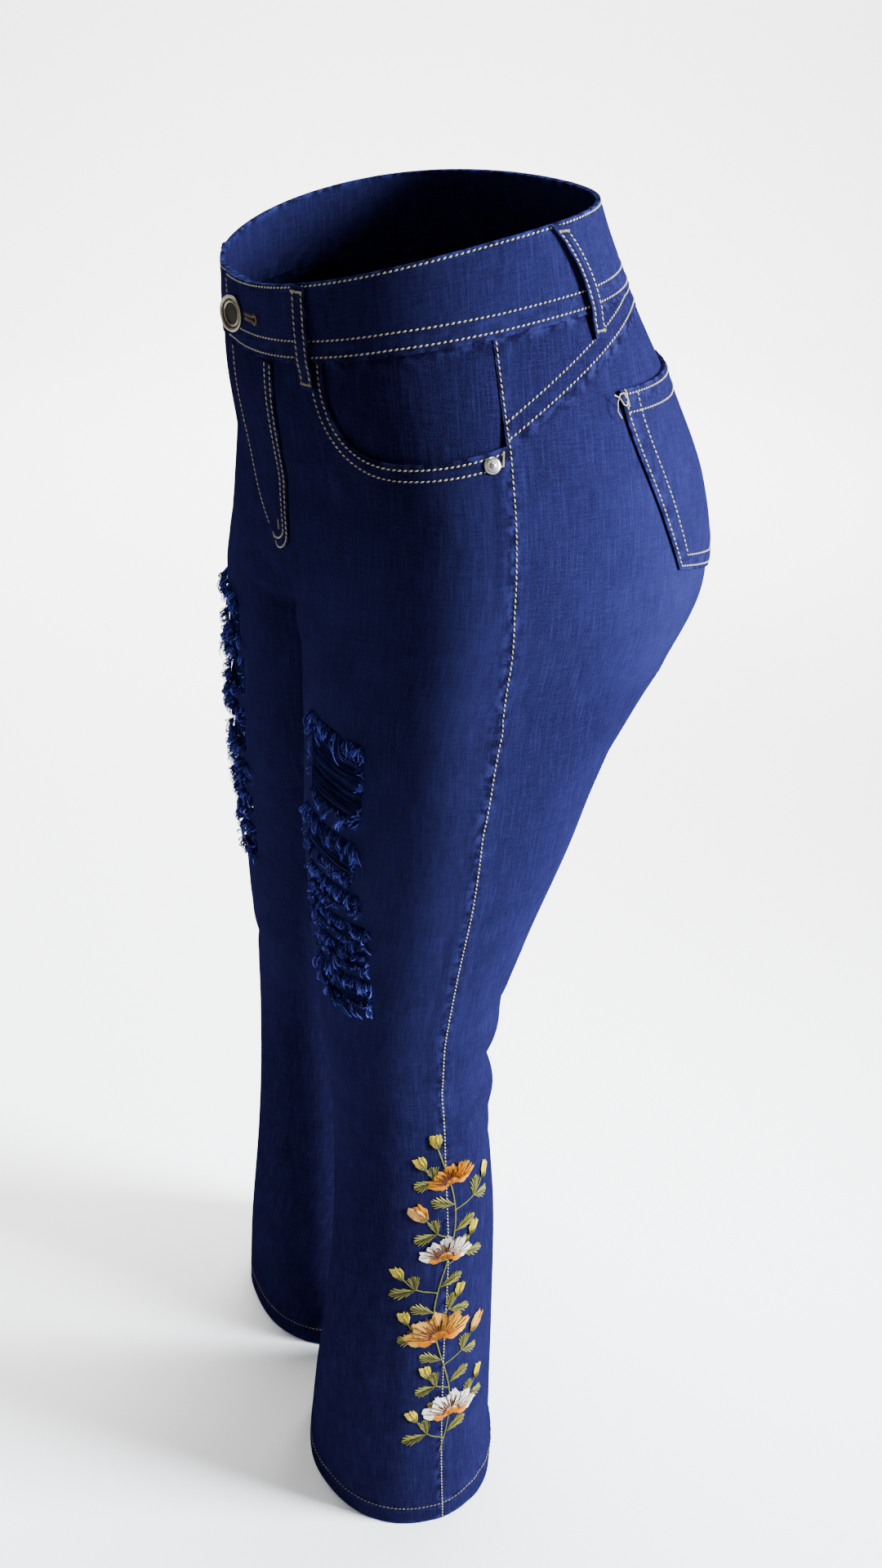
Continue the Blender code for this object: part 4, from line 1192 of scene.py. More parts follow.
# %% [markdown]
# ## Topstitching and bartacks
# The rows follow the seams at the distances of a two-needle machine: one row near the edge and another
# about 6 to 9 mm from it. Where a seam takes the most pull, at the pockets, the fly and the loops, a
# bartack is sewn: a tight zigzag, a few millimetres long.

# %% Rows of stitches
STITCH_PITCH = 0.0034
STITCH_SIZE = (0.0027, 0.00115, 0.0009)
HEM_STITCH_SIZE = (0.0028, 0.0009, 0.0007)
LOOP_STITCH_SIZE = (0.0031, 0.0011, 0.0008)
STITCH_LIFT, STITCH_SLANT = 0.00015, 0.26
TACK_PITCH, TACK_LEAN, TACK_LIFT = 0.00055, 0.16, 0.0003
FINE_THREAD = (0.0008, 0.0010)
ROWS = {
    # how far each row of stitches lies from its seam or edge
    "side": (0.0017,), "inseam": (0.0018,), "seat": (0.0018, 0.0085), "front middle": (0.0016, 0.0080),
    "fly": (0.0018, 0.0080), "scoop": (0.0030, 0.0090), "yoke": (0.0035, 0.0125),
    "pocket mouth": (0.0030, 0.0135), "loop": (-0.0034, 0.0034),
}
FLY_TACKS = (
    # turn, height, length, slant, width
    (0.030, -0.2045, 0.0085, 0.15, 0.0022),
    (0.180, -0.1850, 0.0070, 1.30, 0.0022),
)
POCKET_INSET, POCKET_TACK = 0.0028, (0.030, 0.045)
FLY_EDGE = 0.0015 - FLY_LAP
topstitches, hem_stitches, bartacks = [], [], []


def lay_row(cloths, leg, turns, z, outs=0.0, size=STITCH_SIZE, into=topstitches):
    """A row of stitches along a line of turns and heights, on the named cloths."""
    turns, z, outs = np.broadcast_arrays(np.asarray(turns, float), np.asarray(z, float), outs)
    path = skin(leg, turns, z, outs)
    length = length_along(path)
    count = max(2, round(length[-1] / STITCH_PITCH))
    at = (np.arange(count) + 0.5) / count * length[-1]
    turn, height, out = (np.interp(at, length, values) for values in (turns, z, outs))
    points, away = laid_on(cloths, leg, turn, height, out)
    along = np.gradient(points, axis=0)
    along = along + STITCH_SLANT * np.cross(away, along)
    into.append((points + STITCH_LIFT * away, along, away, np.tile(size, (count, 1))))


def lay_tack(cloths, leg, turn, z, length, slant, width, out=0.0):
    """A bartack: a short column of threads that cross it, one close above another."""
    quarter = float(quarter_length(turn, z))
    count = round(length / TACK_PITCH)
    along = (np.arange(count) + 0.5 - count / 2) * TACK_PITCH
    turns = turn + along * math.cos(slant) / quarter
    heights = z + along * math.sin(slant)
    points, away = laid_on(cloths, leg, turns, heights, out)
    column = skin(leg, turns[-1:], heights[-1:]) - skin(leg, turns[:1], heights[:1])
    across = np.cross(np.broadcast_to(column, away.shape), away)
    zigzag = TACK_LEAN * (-1.0) ** np.arange(count)[:, None]
    across = across + zigzag * np.linalg.norm(across, axis=-1, keepdims=True) * unit(column)
    size = np.tile((width, *FINE_THREAD), (count, 1))
    bartacks.append((points + TACK_LIFT * away, across, away, size))


def stitch_waistband():
    lap = (BAND_LAP - 0.003) / float(front_length(0))
    for leg, start in ((1, -lap), (-1, 0.10)):
        turns = np.linspace(start, 2, 120)
        top, tall = waist_z(turns), band_height(turns)
        for below in (0.0017, tall - 0.0125, tall - 0.0035):
            lay_row(["waistband"], leg, turns, top - below)
    top = float(waist_z(-lap))
    lay_row(["waistband"], 1, -lap, np.linspace(top - 0.0035, top - float(band_height(0)) + 0.0050, 12))


def stitch_fly():
    top = float(under_band(front_place, np.array(0.0)))
    z = np.linspace(top - 0.001, -0.199, 60)
    lay_row(["fly", "front_left"], 1, FLY_EDGE / front_length(z), z)
    bend = FLY_BOTTOM_Z + FLY_CURVE * (1 - np.sin(np.linspace(0, 0.46 * math.pi, 24)))
    z = np.concatenate([np.linspace(top - 0.001, FLY_BOTTOM_Z + FLY_CURVE, 40)[:-1], bend])
    for inset in ROWS["fly"]:
        turns, heights = moved_beside(fly_width(z) / front_length(z), z, -inset)
        keep = turns * front_length(heights) > FLY_EDGE
        lay_row(["fly", "front_left"], 1, turns[keep], heights[keep])
    z = np.linspace(-0.2135, -0.262, 24)
    for beside_seam in ROWS["front middle"]:
        lay_row(["front_left"], 1, beside_seam / front_length(z), z)
    for tack in FLY_TACKS:
        lay_tack(["fly", "front_left"], 1, *tack)


def stitch_leg(side, leg):
    front, back, top = f"front_{side}", f"back_{side}", f"yoke_{side}"
    z = np.linspace(float(seam_z(1)) - 0.001, -OUTSEAM + 0.001, 400)
    lay_row([back, top], leg, side_turn(z) + ROWS["side"][0] / back_length(z), z)
    z = np.linspace(CROTCH_Z - 0.004, -OUTSEAM + 0.001, 300)
    lay_row([front], leg, ROWS["inseam"][0] / front_length(z), z)
    turns = np.linspace(0.004, 1.996, 160)
    lay_row([front, back], leg, turns, HEM_TOP - 0.0004, size=HEM_STITCH_SIZE, into=hem_stitches)
    bend = SCOOP_START + (1 - SCOOP_START) * np.linspace(0, 1, 90) ** 2
    z = scoop_z(bend)
    z[0] = float(under_band(front_place, bend[:1])[0])
    for below in ROWS["scoop"]:
        turns, heights = moved_beside(front_place(bend, z), z, -below)
        keep = turns * front_length(heights) < side_turn(heights) * front_length(heights) - 0.0015
        lay_row([front], leg, turns[keep], heights[keep])
    shares = np.linspace(0.006, 0.994, 90)
    for above in ROWS["yoke"]:
        z = yoke_z(1 + shares) + above
        keep = z < under_band(back_place, shares) - 0.001
        lay_row([top], leg, back_place(shares, z)[keep], z[keep])
    if leg == 1:
        z = np.linspace(YOKE_MIDDLE_Z - 0.001, CROTCH_Z + 0.006, 90)
        for beside_seam in ROWS["seat"]:
            lay_row([back], leg, 2 - beside_seam / back_length(z), z)


def stitch_back_pocket(side, leg):
    cloths, out = [f"back_pocket_{side}"], POCKET_OUT
    for inset, foot_inset in ((POCKET_INSET, POCKET_INSET), (0.0150, 0.0100)):
        a, d, foot = inset / POCKET_ACROSS, POCKET_INSET / POCKET_DOWN, 1 - foot_inset / POCKET_DOWN
        across = np.concatenate([np.full(30, a), np.linspace(a, 1 - a, 40), np.full(30, 1 - a)])
        down = np.concatenate([np.linspace(d, foot, 30), np.full(40, foot), np.linspace(foot, d, 30)])
        lay_row(cloths, leg, *pocket_place(across, down), out)
    across = np.linspace(POCKET_INSET, POCKET_ACROSS - POCKET_INSET, 40) / POCKET_ACROSS
    for below in ROWS["pocket mouth"]:
        lay_row(cloths, leg, *pocket_place(across, np.full(40, below / POCKET_DOWN)), out)
    for across, slant in ((POCKET_TACK[0], -1.45), (1 - POCKET_TACK[0], -1.65)):
        turn, z = pocket_place(across, POCKET_TACK[1])
        lay_tack(cloths, leg, float(turn), float(z), 0.0100, slant, 0.0026, out)


def stitch_loop(name, leg, top_turn, bottom_turn):
    """Two rows down a belt loop, and a tack across either end."""
    down = np.linspace(0.04, 0.96, 40)
    for across in ROWS["loop"]:
        turns, z, out = loop_place(top_turn, bottom_turn, np.full(40, across), down)
        lay_row([name], leg, turns, z, out, size=LOOP_STITCH_SIZE)
    for at in (0.055, 0.935):
        turn, z, out = loop_place(top_turn, bottom_turn, np.array(0.0), np.array(at))
        lay_tack([name], leg, float(turn), float(z), 0.0088, 0.0, 0.0017, float(out))


def stitches(name, laid, finish):
    """One piece of thread from all the rows that were laid for it."""
    points, along, away, size = (np.concatenate(rows) for rows in zip(*laid))
    attributes = {"along": along, "away": away, "size": size}
    grown(name, STITCHES, points, [], attributes, {"Sides": 5, "Rings": 4, "Finish": finish})


stitch_waistband()
stitch_fly()
for side, leg in SIDES.items():
    stitch_leg(side, leg)
    stitch_back_pocket(side, leg)
    turn = float(front_place(0.985, -0.114))
    lay_tack([f"front_{side}"], leg, turn, float(scoop_z(0.985)) - 0.0058, 0.0085, 1.45, 0.0020)
for loop in LOOPS:
    stitch_loop(*loop)
stitches("topstitching", topstitches, TOPSTITCH)
stitches("hem_stitching", hem_stitches, HEM_THREAD)
stitches("bartacks", bartacks, BARTACK)

# %% [markdown]
# ## The rips
# Denim is ripped by cutting across the warp and rubbing it away, which leaves the weft lying bare across
# the hole, while the cut warp threads curl out of both edges in tufts. Denim dyed all through has blue
# weft. Every yarn is a line on the leg's own surface, pushed out where it curls.

# %% Bare weft and curling frays
WEFT_SPACING, WEFT_RADIUS = 0.00086, 0.00045
FRAY_RADIUS = 0.00037
WEFT_LOST = 0.07
UPPER_TUFTS_APART, LOWER_TUFTS_APART = {1: 0.0021, -1: 0.0018}, {1: 0.0060, -1: 0.0030}
TUFT_LIFT = {1: 1.0, -1: 1.5}
chance = np.random.default_rng(11)


def joined(lines):
    """Lines of points set end to end, with the edges that join each line's own points."""
    starts = np.cumsum([0] + [len(line) for line in lines[:-1]])
    edges = [(s + k, s + k + 1) for s, line in zip(starts, lines) for k in range(len(line) - 1)]
    return np.concatenate(lines), edges


def yarns(name, lines, thick, tint, finish, sides=3):
    """Yarns along lines of points, each with its own thickness and tint all along it."""
    points, edges = joined(lines)
    attributes = {"thick": np.concatenate(thick), "tint": np.concatenate(tint)}
    return grown(name, YARNS, points, edges, attributes, {"Sides": sides, "Finish": finish})


def weft_yarns(leg, tears):
    """The weft that lies bare across each hole, a little slack and not quite even."""
    lines = []
    for upper, lower, start, end in tears:
        count = round((upper - lower - 0.001) / WEFT_SPACING)
        for k in range(count):
            if chance.random() < WEFT_LOST:
                continue
            level = upper - 0.0012 - (k + 0.5 + chance.normal(0, 0.22)) * WEFT_SPACING
            t = np.linspace(0, 1, 15)
            quarter = float(front_length(level))
            turns = start - 0.003 / quarter + (end - start + 0.006 / quarter) * t
            slack = 0.0014 * chance.random() * np.sin(math.pi * t)
            wander = 0.0004 * np.sin(2 * math.pi * (t * chance.uniform(0.7, 2.2) + chance.random()))
            depth = 0.0006 + (0.0008 + 0.0006 * chance.random()) * np.sin(math.pi * t)
            lines.append(skin(leg, front_place(turns, level), level - slack + wander, -depth))
    return lines


def fray_line(leg, turn, z, fall, lift, drift, curl):
    """One torn warp thread: it leaves the edge, stands out and curls over."""
    t = np.linspace(0, 1, 7)
    quarter = float(front_length(z))
    sway = drift * t + curl * np.sin(3.1 * t)
    height = z + 0.0012 * (1 - t) - fall * t**1.1 + 0.16 * abs(fall) * t**3
    out = lift * np.sin(math.pi * (0.04 + 0.72 * t)) + 0.0006 * t
    return skin(leg, front_place(turn + sway / quarter, height), height, out)


def tuft(leg, turn, z, reach, lines):
    """Torn threads that cling together: they start a few millimetres apart and lean one way."""
    quarter = float(front_length(z))
    lean, rise = chance.normal(0.0008, 0.0042), chance.uniform(0.0008, 0.0050) * TUFT_LIFT[leg]
    long = chance.uniform(0.0055, 0.0150)
    for _ in range(chance.integers(4, 9)):
        root = turn + chance.normal(0, 0.0013) / quarter
        fall = reach * long * chance.uniform(0.75, 1.25)
        drift, curl = lean + chance.normal(0, 0.0010), chance.normal(0, 0.0014)
        lines.append(fray_line(leg, root, z, fall, rise * chance.uniform(0.6, 1.3), drift, curl))


def fray_yarns(leg, tears):
    """Tufts of torn warp along the edges of every rip, and short ends where its sides were rubbed."""
    lines = []
    for number, (upper, lower, start, end) in enumerate(tears):
        quarter = float(front_length(upper))
        width = (end - start) * quarter
        for place in chance.uniform(0, 1, round(width / UPPER_TUFTS_APART[leg])):
            reach = chance.uniform(0.55, 1.10) * min(1.15, 0.35 + (upper - lower) / 0.030)
            tuft(leg, start + (end - start) * place, upper + 0.0012, reach, lines)
        for place in chance.uniform(0, 1, round(width / LOWER_TUFTS_APART[leg])):
            reach = chance.uniform(0.30, 0.75) * (1.4 if number == len(tears) - 1 else 1.0)
            tuft(leg, start + (end - start) * place, lower - 0.0002, reach, lines)
        for _ in range(round(width / 0.0024)):
            turn = start + (end - start) * chance.random()
            fall, lift = -chance.uniform(0.0015, 0.0055), chance.uniform(0.0008, 0.0040)
            lines.append(fray_line(leg, turn, lower - 0.0016, fall, lift, chance.normal(0, 0.0014), 0.0004))
        for edge, way, apart in ((start, 1, 0.0030), (end, -1, 0.0010)):
            for _ in range(round((upper - lower) / apart)):
                level = lower + (upper - lower) * chance.random()
                drift = way * chance.uniform(-0.0020, 0.0055)
                fall, lift = chance.normal(0.0014, 0.0026), chance.uniform(0.0010, 0.0050)
                root = edge - way * 0.0008 / quarter
                lines.append(fray_line(leg, root, level, fall, lift, drift, chance.normal(0, 0.0008)))
    return lines


for side, leg in SIDES.items():
    bare = weft_yarns(leg, TEARS[side])
    shade = [np.full(len(line), chance.random()) for line in bare]
    yarns(f"bare_weft_{side}", bare, [np.full(len(line), WEFT_RADIUS) for line in bare], shade, WEFT)
    torn = fray_yarns(leg, TEARS[side])
    taper = np.array([1.0, 1.05, 1.05, 1.0, 0.9, 0.75, 0.4])
    thick = [FRAY_RADIUS * chance.uniform(0.7, 1.25) * taper for _ in torn]
    tint = [chance.uniform(0.05, 1.0) ** 2.4 * np.linspace(0.15, 1, 7) for _ in torn]
    fringe = yarns(f"frays_{side}", torn, thick, tint, TORN)
    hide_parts(f"fray_{side}")

# %% [markdown]
# ## Embroidery down the outer leg
# The flowers are machine embroidery in glossy rayon: a shape is filled with long satin stitches that lie
# side by side, so each petal and leaf shines along its threads. The stems are stem stitch, a rope of
# short slanting stitches. The vine is this lesson's own: a rule sets out a waved stem, with sprigs of
# leaves and buds that spring from it in turn, and four blossoms along it.

# %% Embroidery threads
SATIN = {
    "white": tinted("satin_white", (0.34, 0.22, 0.12), (0.48, 0.47, 0.44), 0.5, 0.15),
    "gold": tinted("satin_gold", (0.270, 0.062, 0.0015), (0.370, 0.195, 0.0170), 0.5, 0.15),
    "peach": tinted("satin_peach", (0.290, 0.080, 0.0020), (0.400, 0.230, 0.0500), 0.5, 0.12),
    "orange": tinted("satin_orange", (0.210, 0.048, 0.0002), (0.310, 0.112, 0.0004), 0.5, 0.05),
    "brown": tinted("satin_brown", (0.022, 0.004, 0.0008), (0.052, 0.010, 0.0020), 0.6, 0.05),
    "yellow": tinted("satin_yellow", (0.190, 0.115, 0.0015), (0.390, 0.300, 0.0060), 0.5, 0.15),
    "olive": tinted("satin_olive", (0.0120, 0.0115, 0.0016), (0.1250, 0.1150, 0.0200), 0.5, 0.10),
}
STEM = thread("stem_thread", (0.105, 0.102, 0.022), (0.040, 0.038, 0.007), 0.6)
SATIN_PITCH, SATIN_RADIUS = 0.00050, 0.00036
STEM_PITCH, STEM_STITCH, STEM_WIDTH, STEM_SLANT = 0.0011, 0.0034, 0.0018, 0.40
PETALS, PETAL_SPREAD, FRILL_SPREAD, HEART_SPREAD = 5, 150, 176, 168
LAYERS = {"leaf": 0.00030, "petal": 0.00060, "near": 0.00100, "line": 0.00150}
satin = {colour: [] for colour in SATIN}
stems = []
print("embroidery threads:", len(SATIN) + 1)

# %% Shapes filled with satin stitches
def satin_line(colour, start, end, layer, tint=(0.0, 1.0), puff=0.0004, scale=1.0):
    """One satin stitch between two places, each a distance from the side seam and a height."""
    t = np.linspace(0, 1, 4)[:, None]
    flat = np.array(start) * (1 - t) + np.array(end) * t
    lift = LAYERS[layer] + puff * np.sin(math.pi * t[:, 0])
    shade = tint[0] + (tint[1] - tint[0]) * t[:, 0] + chance.normal(0, 0.10)
    satin[colour].append((flat, lift, shade, np.full(4, SATIN_RADIUS * scale)))


def heading(angle):
    """A unit step: 0 degrees is up the leg, and 90 is towards the back."""
    return np.array([math.sin(math.radians(angle)), math.cos(math.radians(angle))])


def leaf(s, z, angle, length, width):
    """A leaf: stitches slant forward from the midrib to both saw-toothed edges."""
    root, rib, side = np.array([s, z]), heading(angle), heading(angle + 90)
    count = round(length / 0.00058)
    for k in range(count):
        t = (k + 0.5) / count
        tooth = 1.0 + 1.1 * ((t * 4.6) % 1.0 - 0.5)
        spread = width / 2 * math.sin(math.pi * t**0.75) ** 1.1 * tooth
        at = root + rib * t * length
        for way in (-1, 1):
            tip = at + side * way * spread + rib * (spread + 0.0014)
            satin_line("olive", at + side * way * 0.0002, tip, "leaf", (0.1 + 0.3 * (way > 0), 1.0), 0.0003)
    for t in np.linspace(0.02, 0.86, round(length / 0.0016)):
        at = root + rib * t * length
        satin_line("olive", at, at + rib * 0.0022, "petal", (0.0, 0.1), 0.0002)


def petal(s, z, angle, length, width, colour, layer, bend, notch=0.10):
    """A petal: stitches run out from its root and spread, to a rounded edge with a small notch."""
    root = np.array([s, z])
    count = max(5, round(width / SATIN_PITCH))
    for k in range(count):
        across = 2 * (k + 0.5) / count - 1
        reach = length * (1 - 0.50 * abs(across) ** 1.6 + 0.05 * math.sin(7 * across + 300 * length))
        reach *= 1 - notch * math.exp(-((across / 0.20) ** 2)) + chance.normal(0, 0.024)
        way, side = heading(angle + bend * across * 30), heading(angle + 90)
        start = root + side * across * width * 0.20 + heading(angle) * 0.0004
        end = root + way * reach + side * across * width * 0.40
        satin_line(colour, start, end, layer, (0.12 * chance.random(), 0.8 + 0.25 * abs(across)))


def vein(s, z, angle, first, last, curve, weight=0.85):
    """A brown line over a petal, of short stitches one after another."""
    at = np.array([s, z]) + heading(angle) * first
    steps = max(2, round((last - first) / 0.0020))
    for k in range(steps):
        turned = angle + curve * (k + 0.5) / steps
        ahead = at + heading(turned) * (last - first) / steps
        satin_line("brown", at, ahead + heading(turned) * 0.0004, "line", (0.3, 0.9), 0.0002, weight)
        at = ahead


def bud(s, z, angle, length, width, colour="yellow"):
    """A closed bud in two petals that overlap, held in a small olive cup."""
    behind = "orange" if colour == "peach" else colour
    petal(s, z, angle + 12, length * 0.98, width * 0.76, behind, "petal", 0.2, 0.12)
    petal(s, z, angle - 12, length, width * 0.72, colour, "near", 0.2, 0.0)
    vein(s, z, angle, length * 0.35, length * 0.80, 10)
    for turned in (-38, -12, 14, 40):
        tip = (s, z) + heading(angle + turned) * length * 0.34
        satin_line("olive", (s, z) - heading(angle) * 0.0010, tip, "line")


def flower(s, z, angle, size, colour):
    """A blossom seen from the side: a fan of petals behind, and a low frill with a brown heart before."""
    for k in range(PETALS):
        place = k / (PETALS - 1) - 0.5
        turned = angle + PETAL_SPREAD * place
        root = np.array([s, z]) + heading(angle + 90) * place * size * 0.20
        length = size * (0.56 - 0.06 * abs(place) + 0.03 * math.sin(5 * k + s * 900))
        layer = "near" if k % 2 else "petal"
        petal(*root, turned, length, size * (0.33 + 0.04 * (k % 2)), colour, layer, 0.35)
        for side, reach in ((-4, 0.84), (7, 0.70)):
            vein(*root, turned + side, size * 0.20, length * reach, 8 if side > 0 else -8, 0.9)
        if k:
            between = turned - PETAL_SPREAD / (PETALS - 1) / 2
            vein(*root, between, size * 0.20, length * 0.92, -6, 1.3)
    for k in range(PETALS):
        place = k / (PETALS - 1) - 0.5
        root = np.array([s, z]) - heading(angle) * size * 0.05 + heading(angle + 90) * place * size * 0.26
        petal(*root, angle + FRILL_SPREAD * place, size * 0.25, size * 0.19, "orange", "near", 0.3, 0.05)
    for k in range(17):
        turned = angle + HEART_SPREAD * (k / 16 - 0.5)
        vein(s, z, turned, size * 0.15, size * (0.27 + 0.09 * (k % 2)), 0, 1.6)


def sprig(points):
    """A stem through a few places: a smooth line of short stitches that slant across it."""
    points = np.array(points, float)
    fine = np.linspace(0, len(points) - 1, 16 * len(points))
    slopes = np.gradient(points, axis=0)
    at = np.minimum(fine.astype(int), len(points) - 2)
    line = curve_between((fine - at)[:, None], points[at], points[at + 1], slopes[at], slopes[at + 1])
    length = length_along(line)
    count = round(length[-1] / STEM_PITCH)
    even = (np.arange(count) + 0.5) / count * length[-1]
    places = np.stack([np.interp(even, length, line[:, k]) for k in (0, 1)], -1)
    run = unit(np.gradient(places, axis=0))
    slant = run + STEM_SLANT * np.stack([run[:, 1], -run[:, 0]], -1)
    stems.append((places, slant))


def on_leg(flat):
    """Turns and heights of places given by their distance from the side seam and their height."""
    s, z = flat[:, 0], flat[:, 1]
    return side_turn(z) + s / quarter_length(1 + s, z), z


# %% The vine: a wave up the seam, with sprigs to the back and to the front in turn
VINE_FOOT, VINE_RISE, WAVE_LENGTH, WAVE_WIDTH = -0.960, 0.325, 0.205, 0.0085
SPRIGS, SPRIG_STEP = 11, 0.0272
PEACH_BUDS = (3, 8)
FLOWERS = (
    # height above the vine's foot, distance from the stem, size, colour
    (0.040, 0.002, 0.044, "white"),
    (0.128, 0.003, 0.050, "gold"),
    (0.214, -0.003, 0.038, "white"),
    (0.288, 0.002, 0.034, "orange"),
)


def on_vine(rise):
    """A place on the main stem, at a height above its foot."""
    return np.array([WAVE_WIDTH * math.sin(2 * math.pi * rise / WAVE_LENGTH), VINE_FOOT + rise])


def side_sprig(number):
    """A short stem that curves up to a bud, with a leaf on either side of it and one at its root."""
    way = 1 if number % 2 else -1
    root = on_vine(0.014 + SPRIG_STEP * number)
    reach, rise = 0.024 + 0.005 * math.sin(2.3 * number), 0.021 + 0.004 * math.cos(1.7 * number)
    bend, end = root + (0.60 * way * reach, 0.34 * rise), root + (way * reach, rise)
    sprig([root, bend, end])
    leaf(*bend, way * 108, 0.019 + 0.003 * math.cos(number), 0.0080)
    leaf(*bend, way * 12, 0.015 + 0.002 * math.sin(3 * number), 0.0070)
    leaf(*on_vine(0.020 + SPRIG_STEP * number), -way * 66, 0.020, 0.0082)
    if number in PEACH_BUDS:
        bud(*end, way * 34, 0.0190, 0.0145, "peach")
    else:
        bud(*end, way * (22 + 9 * math.cos(2 * number)), 0.0135, 0.0090)


sprig([on_vine(rise) for rise in np.linspace(0, VINE_RISE, 15)])
for number in range(SPRIGS):
    side_sprig(number)
bud(*on_vine(VINE_RISE), -8, 0.0140, 0.0095)
for rise, aside, size, colour in FLOWERS:
    flower(*(on_vine(rise) + (aside, 0)), 6 * math.sin(40 * rise), size, colour)


def embroider():
    for colour, lines in satin.items():
        placed, thick, tint = [], [], []
        for side, leg in SIDES.items():
            flat, lift, shade, radius = (np.concatenate(values) for values in zip(*lines))
            points, away = laid_on([f"front_{side}", f"back_{side}"], leg, *on_leg(flat))
            placed += list((points + lift[:, None] * away).reshape(-1, 4, 3))
            thick += list(radius.reshape(-1, 4))
            tint += list(shade.reshape(-1, 4))
        yarns(f"satin_stitch_{colour}", placed, thick, tint, SATIN[colour])
    laid = []
    for side, leg in SIDES.items():
        for places, slant in stems:
            turns, z = on_leg(places)
            ahead, high = on_leg(places + 0.001 * slant)
            along = skin(leg, ahead, high) - skin(leg, turns, z)
            points, away = laid_on([f"front_{side}", f"back_{side}"], leg, turns, z)
            size = np.tile((STEM_STITCH, STEM_WIDTH / 2, STEM_WIDTH / 2), (len(z), 1))
            laid.append((points + LAYERS["leaf"] * away, along, away, size))
    stitches("stem_stitch", laid, STEM)


embroider()

# %% [markdown]
# ## Metal parts
# The shank button is a stamped shell on a stalk, pressed through the band: a rim with fine beads and a
# ring round a sunk face, all plated and rubbed to look old. The rivets are small domed caps with a nub in
# the middle. Both are turned shapes, so each is a profile swept round its axis.

# %% Button and rivets
def plated(name, bright, dark, roughness):
    """Old plate: bright where it is rubbed, dull and dark in the hollows."""
    metal = Finish(name, roughness, metallic=1.0)
    tarnish = metal.noise(metal.solid(), 520, 4, 0.65)
    worn = (metal.attribute("worn") * 1.1 + (tarnish - 0.5) * 0.9).between(0.15, 0.85)
    metal.set("Base Color", metal.mix(worn, dark, bright))
    metal.set("Roughness", roughness + (1 - worn) * 0.25)
    metal.bump(tarnish, 0.00004)
    return metal.material


BRASS = plated("antique_plate", (0.190, 0.163, 0.118), (0.014, 0.011, 0.007), 0.34)
NICKEL = plated("rivet_plate", (0.420, 0.405, 0.375), (0.110, 0.095, 0.080), 0.28)
BUTTON_TILT, BUTTON_RAISED = 0.36, 0.0017
BEADED_RIM, BEAD_HEIGHT, BEAD_RUB = (0.0094, 0.0108), 0.00016, 0.2
BUTTON_PROFILE = (
    # distance from the axis, height, how rubbed
    (0.0000, 0.00185, 0.00), (0.0030, 0.00190, 0.02), (0.0056, 0.00180, 0.00), (0.0062, 0.00165, 0.00),
    (0.0066, 0.00230, 0.80), (0.0072, 0.00265, 0.95), (0.0078, 0.00230, 0.60), (0.0082, 0.00195, 0.10),
    (0.0090, 0.00215, 0.30), (0.0094, 0.00290, 0.80), (0.0101, 0.00335, 1.00), (0.0107, 0.00310, 1.00),
    (0.0110, 0.00250, 0.80), (0.0108, 0.00180, 0.30), (0.0098, 0.00130, 0.10), (0.0052, 0.00110, 0.00),
    (0.0045, 0.00090, 0.00), (0.0045, -0.00220, 0.00),
)
RIVET_PROFILE = (
    (0.0000, 0.00260, 1.00), (0.0008, 0.00250, 1.00), (0.0014, 0.00215, 0.80), (0.0018, 0.00160, 0.20),
    (0.0024, 0.00150, 0.30), (0.0034, 0.00155, 0.80), (0.0044, 0.00125, 0.90), (0.0050, 0.00070, 0.80),
    (0.0051, 0.00030, 0.40), (0.0047, 0.00012, 0.10),
)


def ring_faces(rings, steps):
    """Faces between closed rings of points that follow one another, each of as many steps."""
    faces = []
    for ring in range(rings - 1):
        for k in range(steps):
            a, b = ring * steps + k, ring * steps + (k + 1) % steps
            faces.append((a, a + steps, b + steps, b))
    return faces


def turned_part(node, profile, seat, axis, finish, steps, beads=0):
    """A profile swept round an axis that stands on the cloth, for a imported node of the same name."""
    axis = Vector(axis).normalized()
    frame_of = axis.to_track_quat("Z", "Y").to_matrix()
    points, worn = [], []
    for radius, height, rubbed in profile[1:]:
        beaded = beads and BEADED_RIM[0] < radius < BEADED_RIM[1]
        for k in range(steps):
            angle = 2 * math.pi * k / steps
            bead = math.cos(beads * angle) if beaded else 0.0
            spot = (radius * math.cos(angle), radius * math.sin(angle), height + BEAD_HEIGHT * bead)
            points.append(Vector(seat) + frame_of @ Vector(spot))
            worn.append(rubbed + BEAD_RUB * bead)
    faces = ring_faces(len(profile) - 1, steps)
    for centre, ring, way in ((profile[0], 0, 1), (profile[-1], len(profile) - 2, -1)):
        points.append(Vector(seat) + frame_of @ Vector((0, 0, centre[1])))
        worn.append(centre[2])
        middle = len(points) - 1
        around = [ring * steps + k for k in range(steps)]
        faces += [(middle, around[k], around[(k + 1) % steps])[::way] for k in range(steps)]
    made = piece_from(f"{node}_turned", points, faces, finish)
    made.data.attributes.new("worn", "FLOAT", "POINT").data.foreach_set("value", np.array(worn, np.float32))
    made.data.set_sharp_from_angle(angle=math.radians(60))
    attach(made, "root")
    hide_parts(node)
    print(f"{node}: {len(faces)} faces")


def on_cloth(node, leg, turn, z):
    """The seat and the axis of a part that stands on a cloth."""
    points, away = laid_on([node], leg, np.array([turn]), np.array([z]))
    return points[0], away[0]


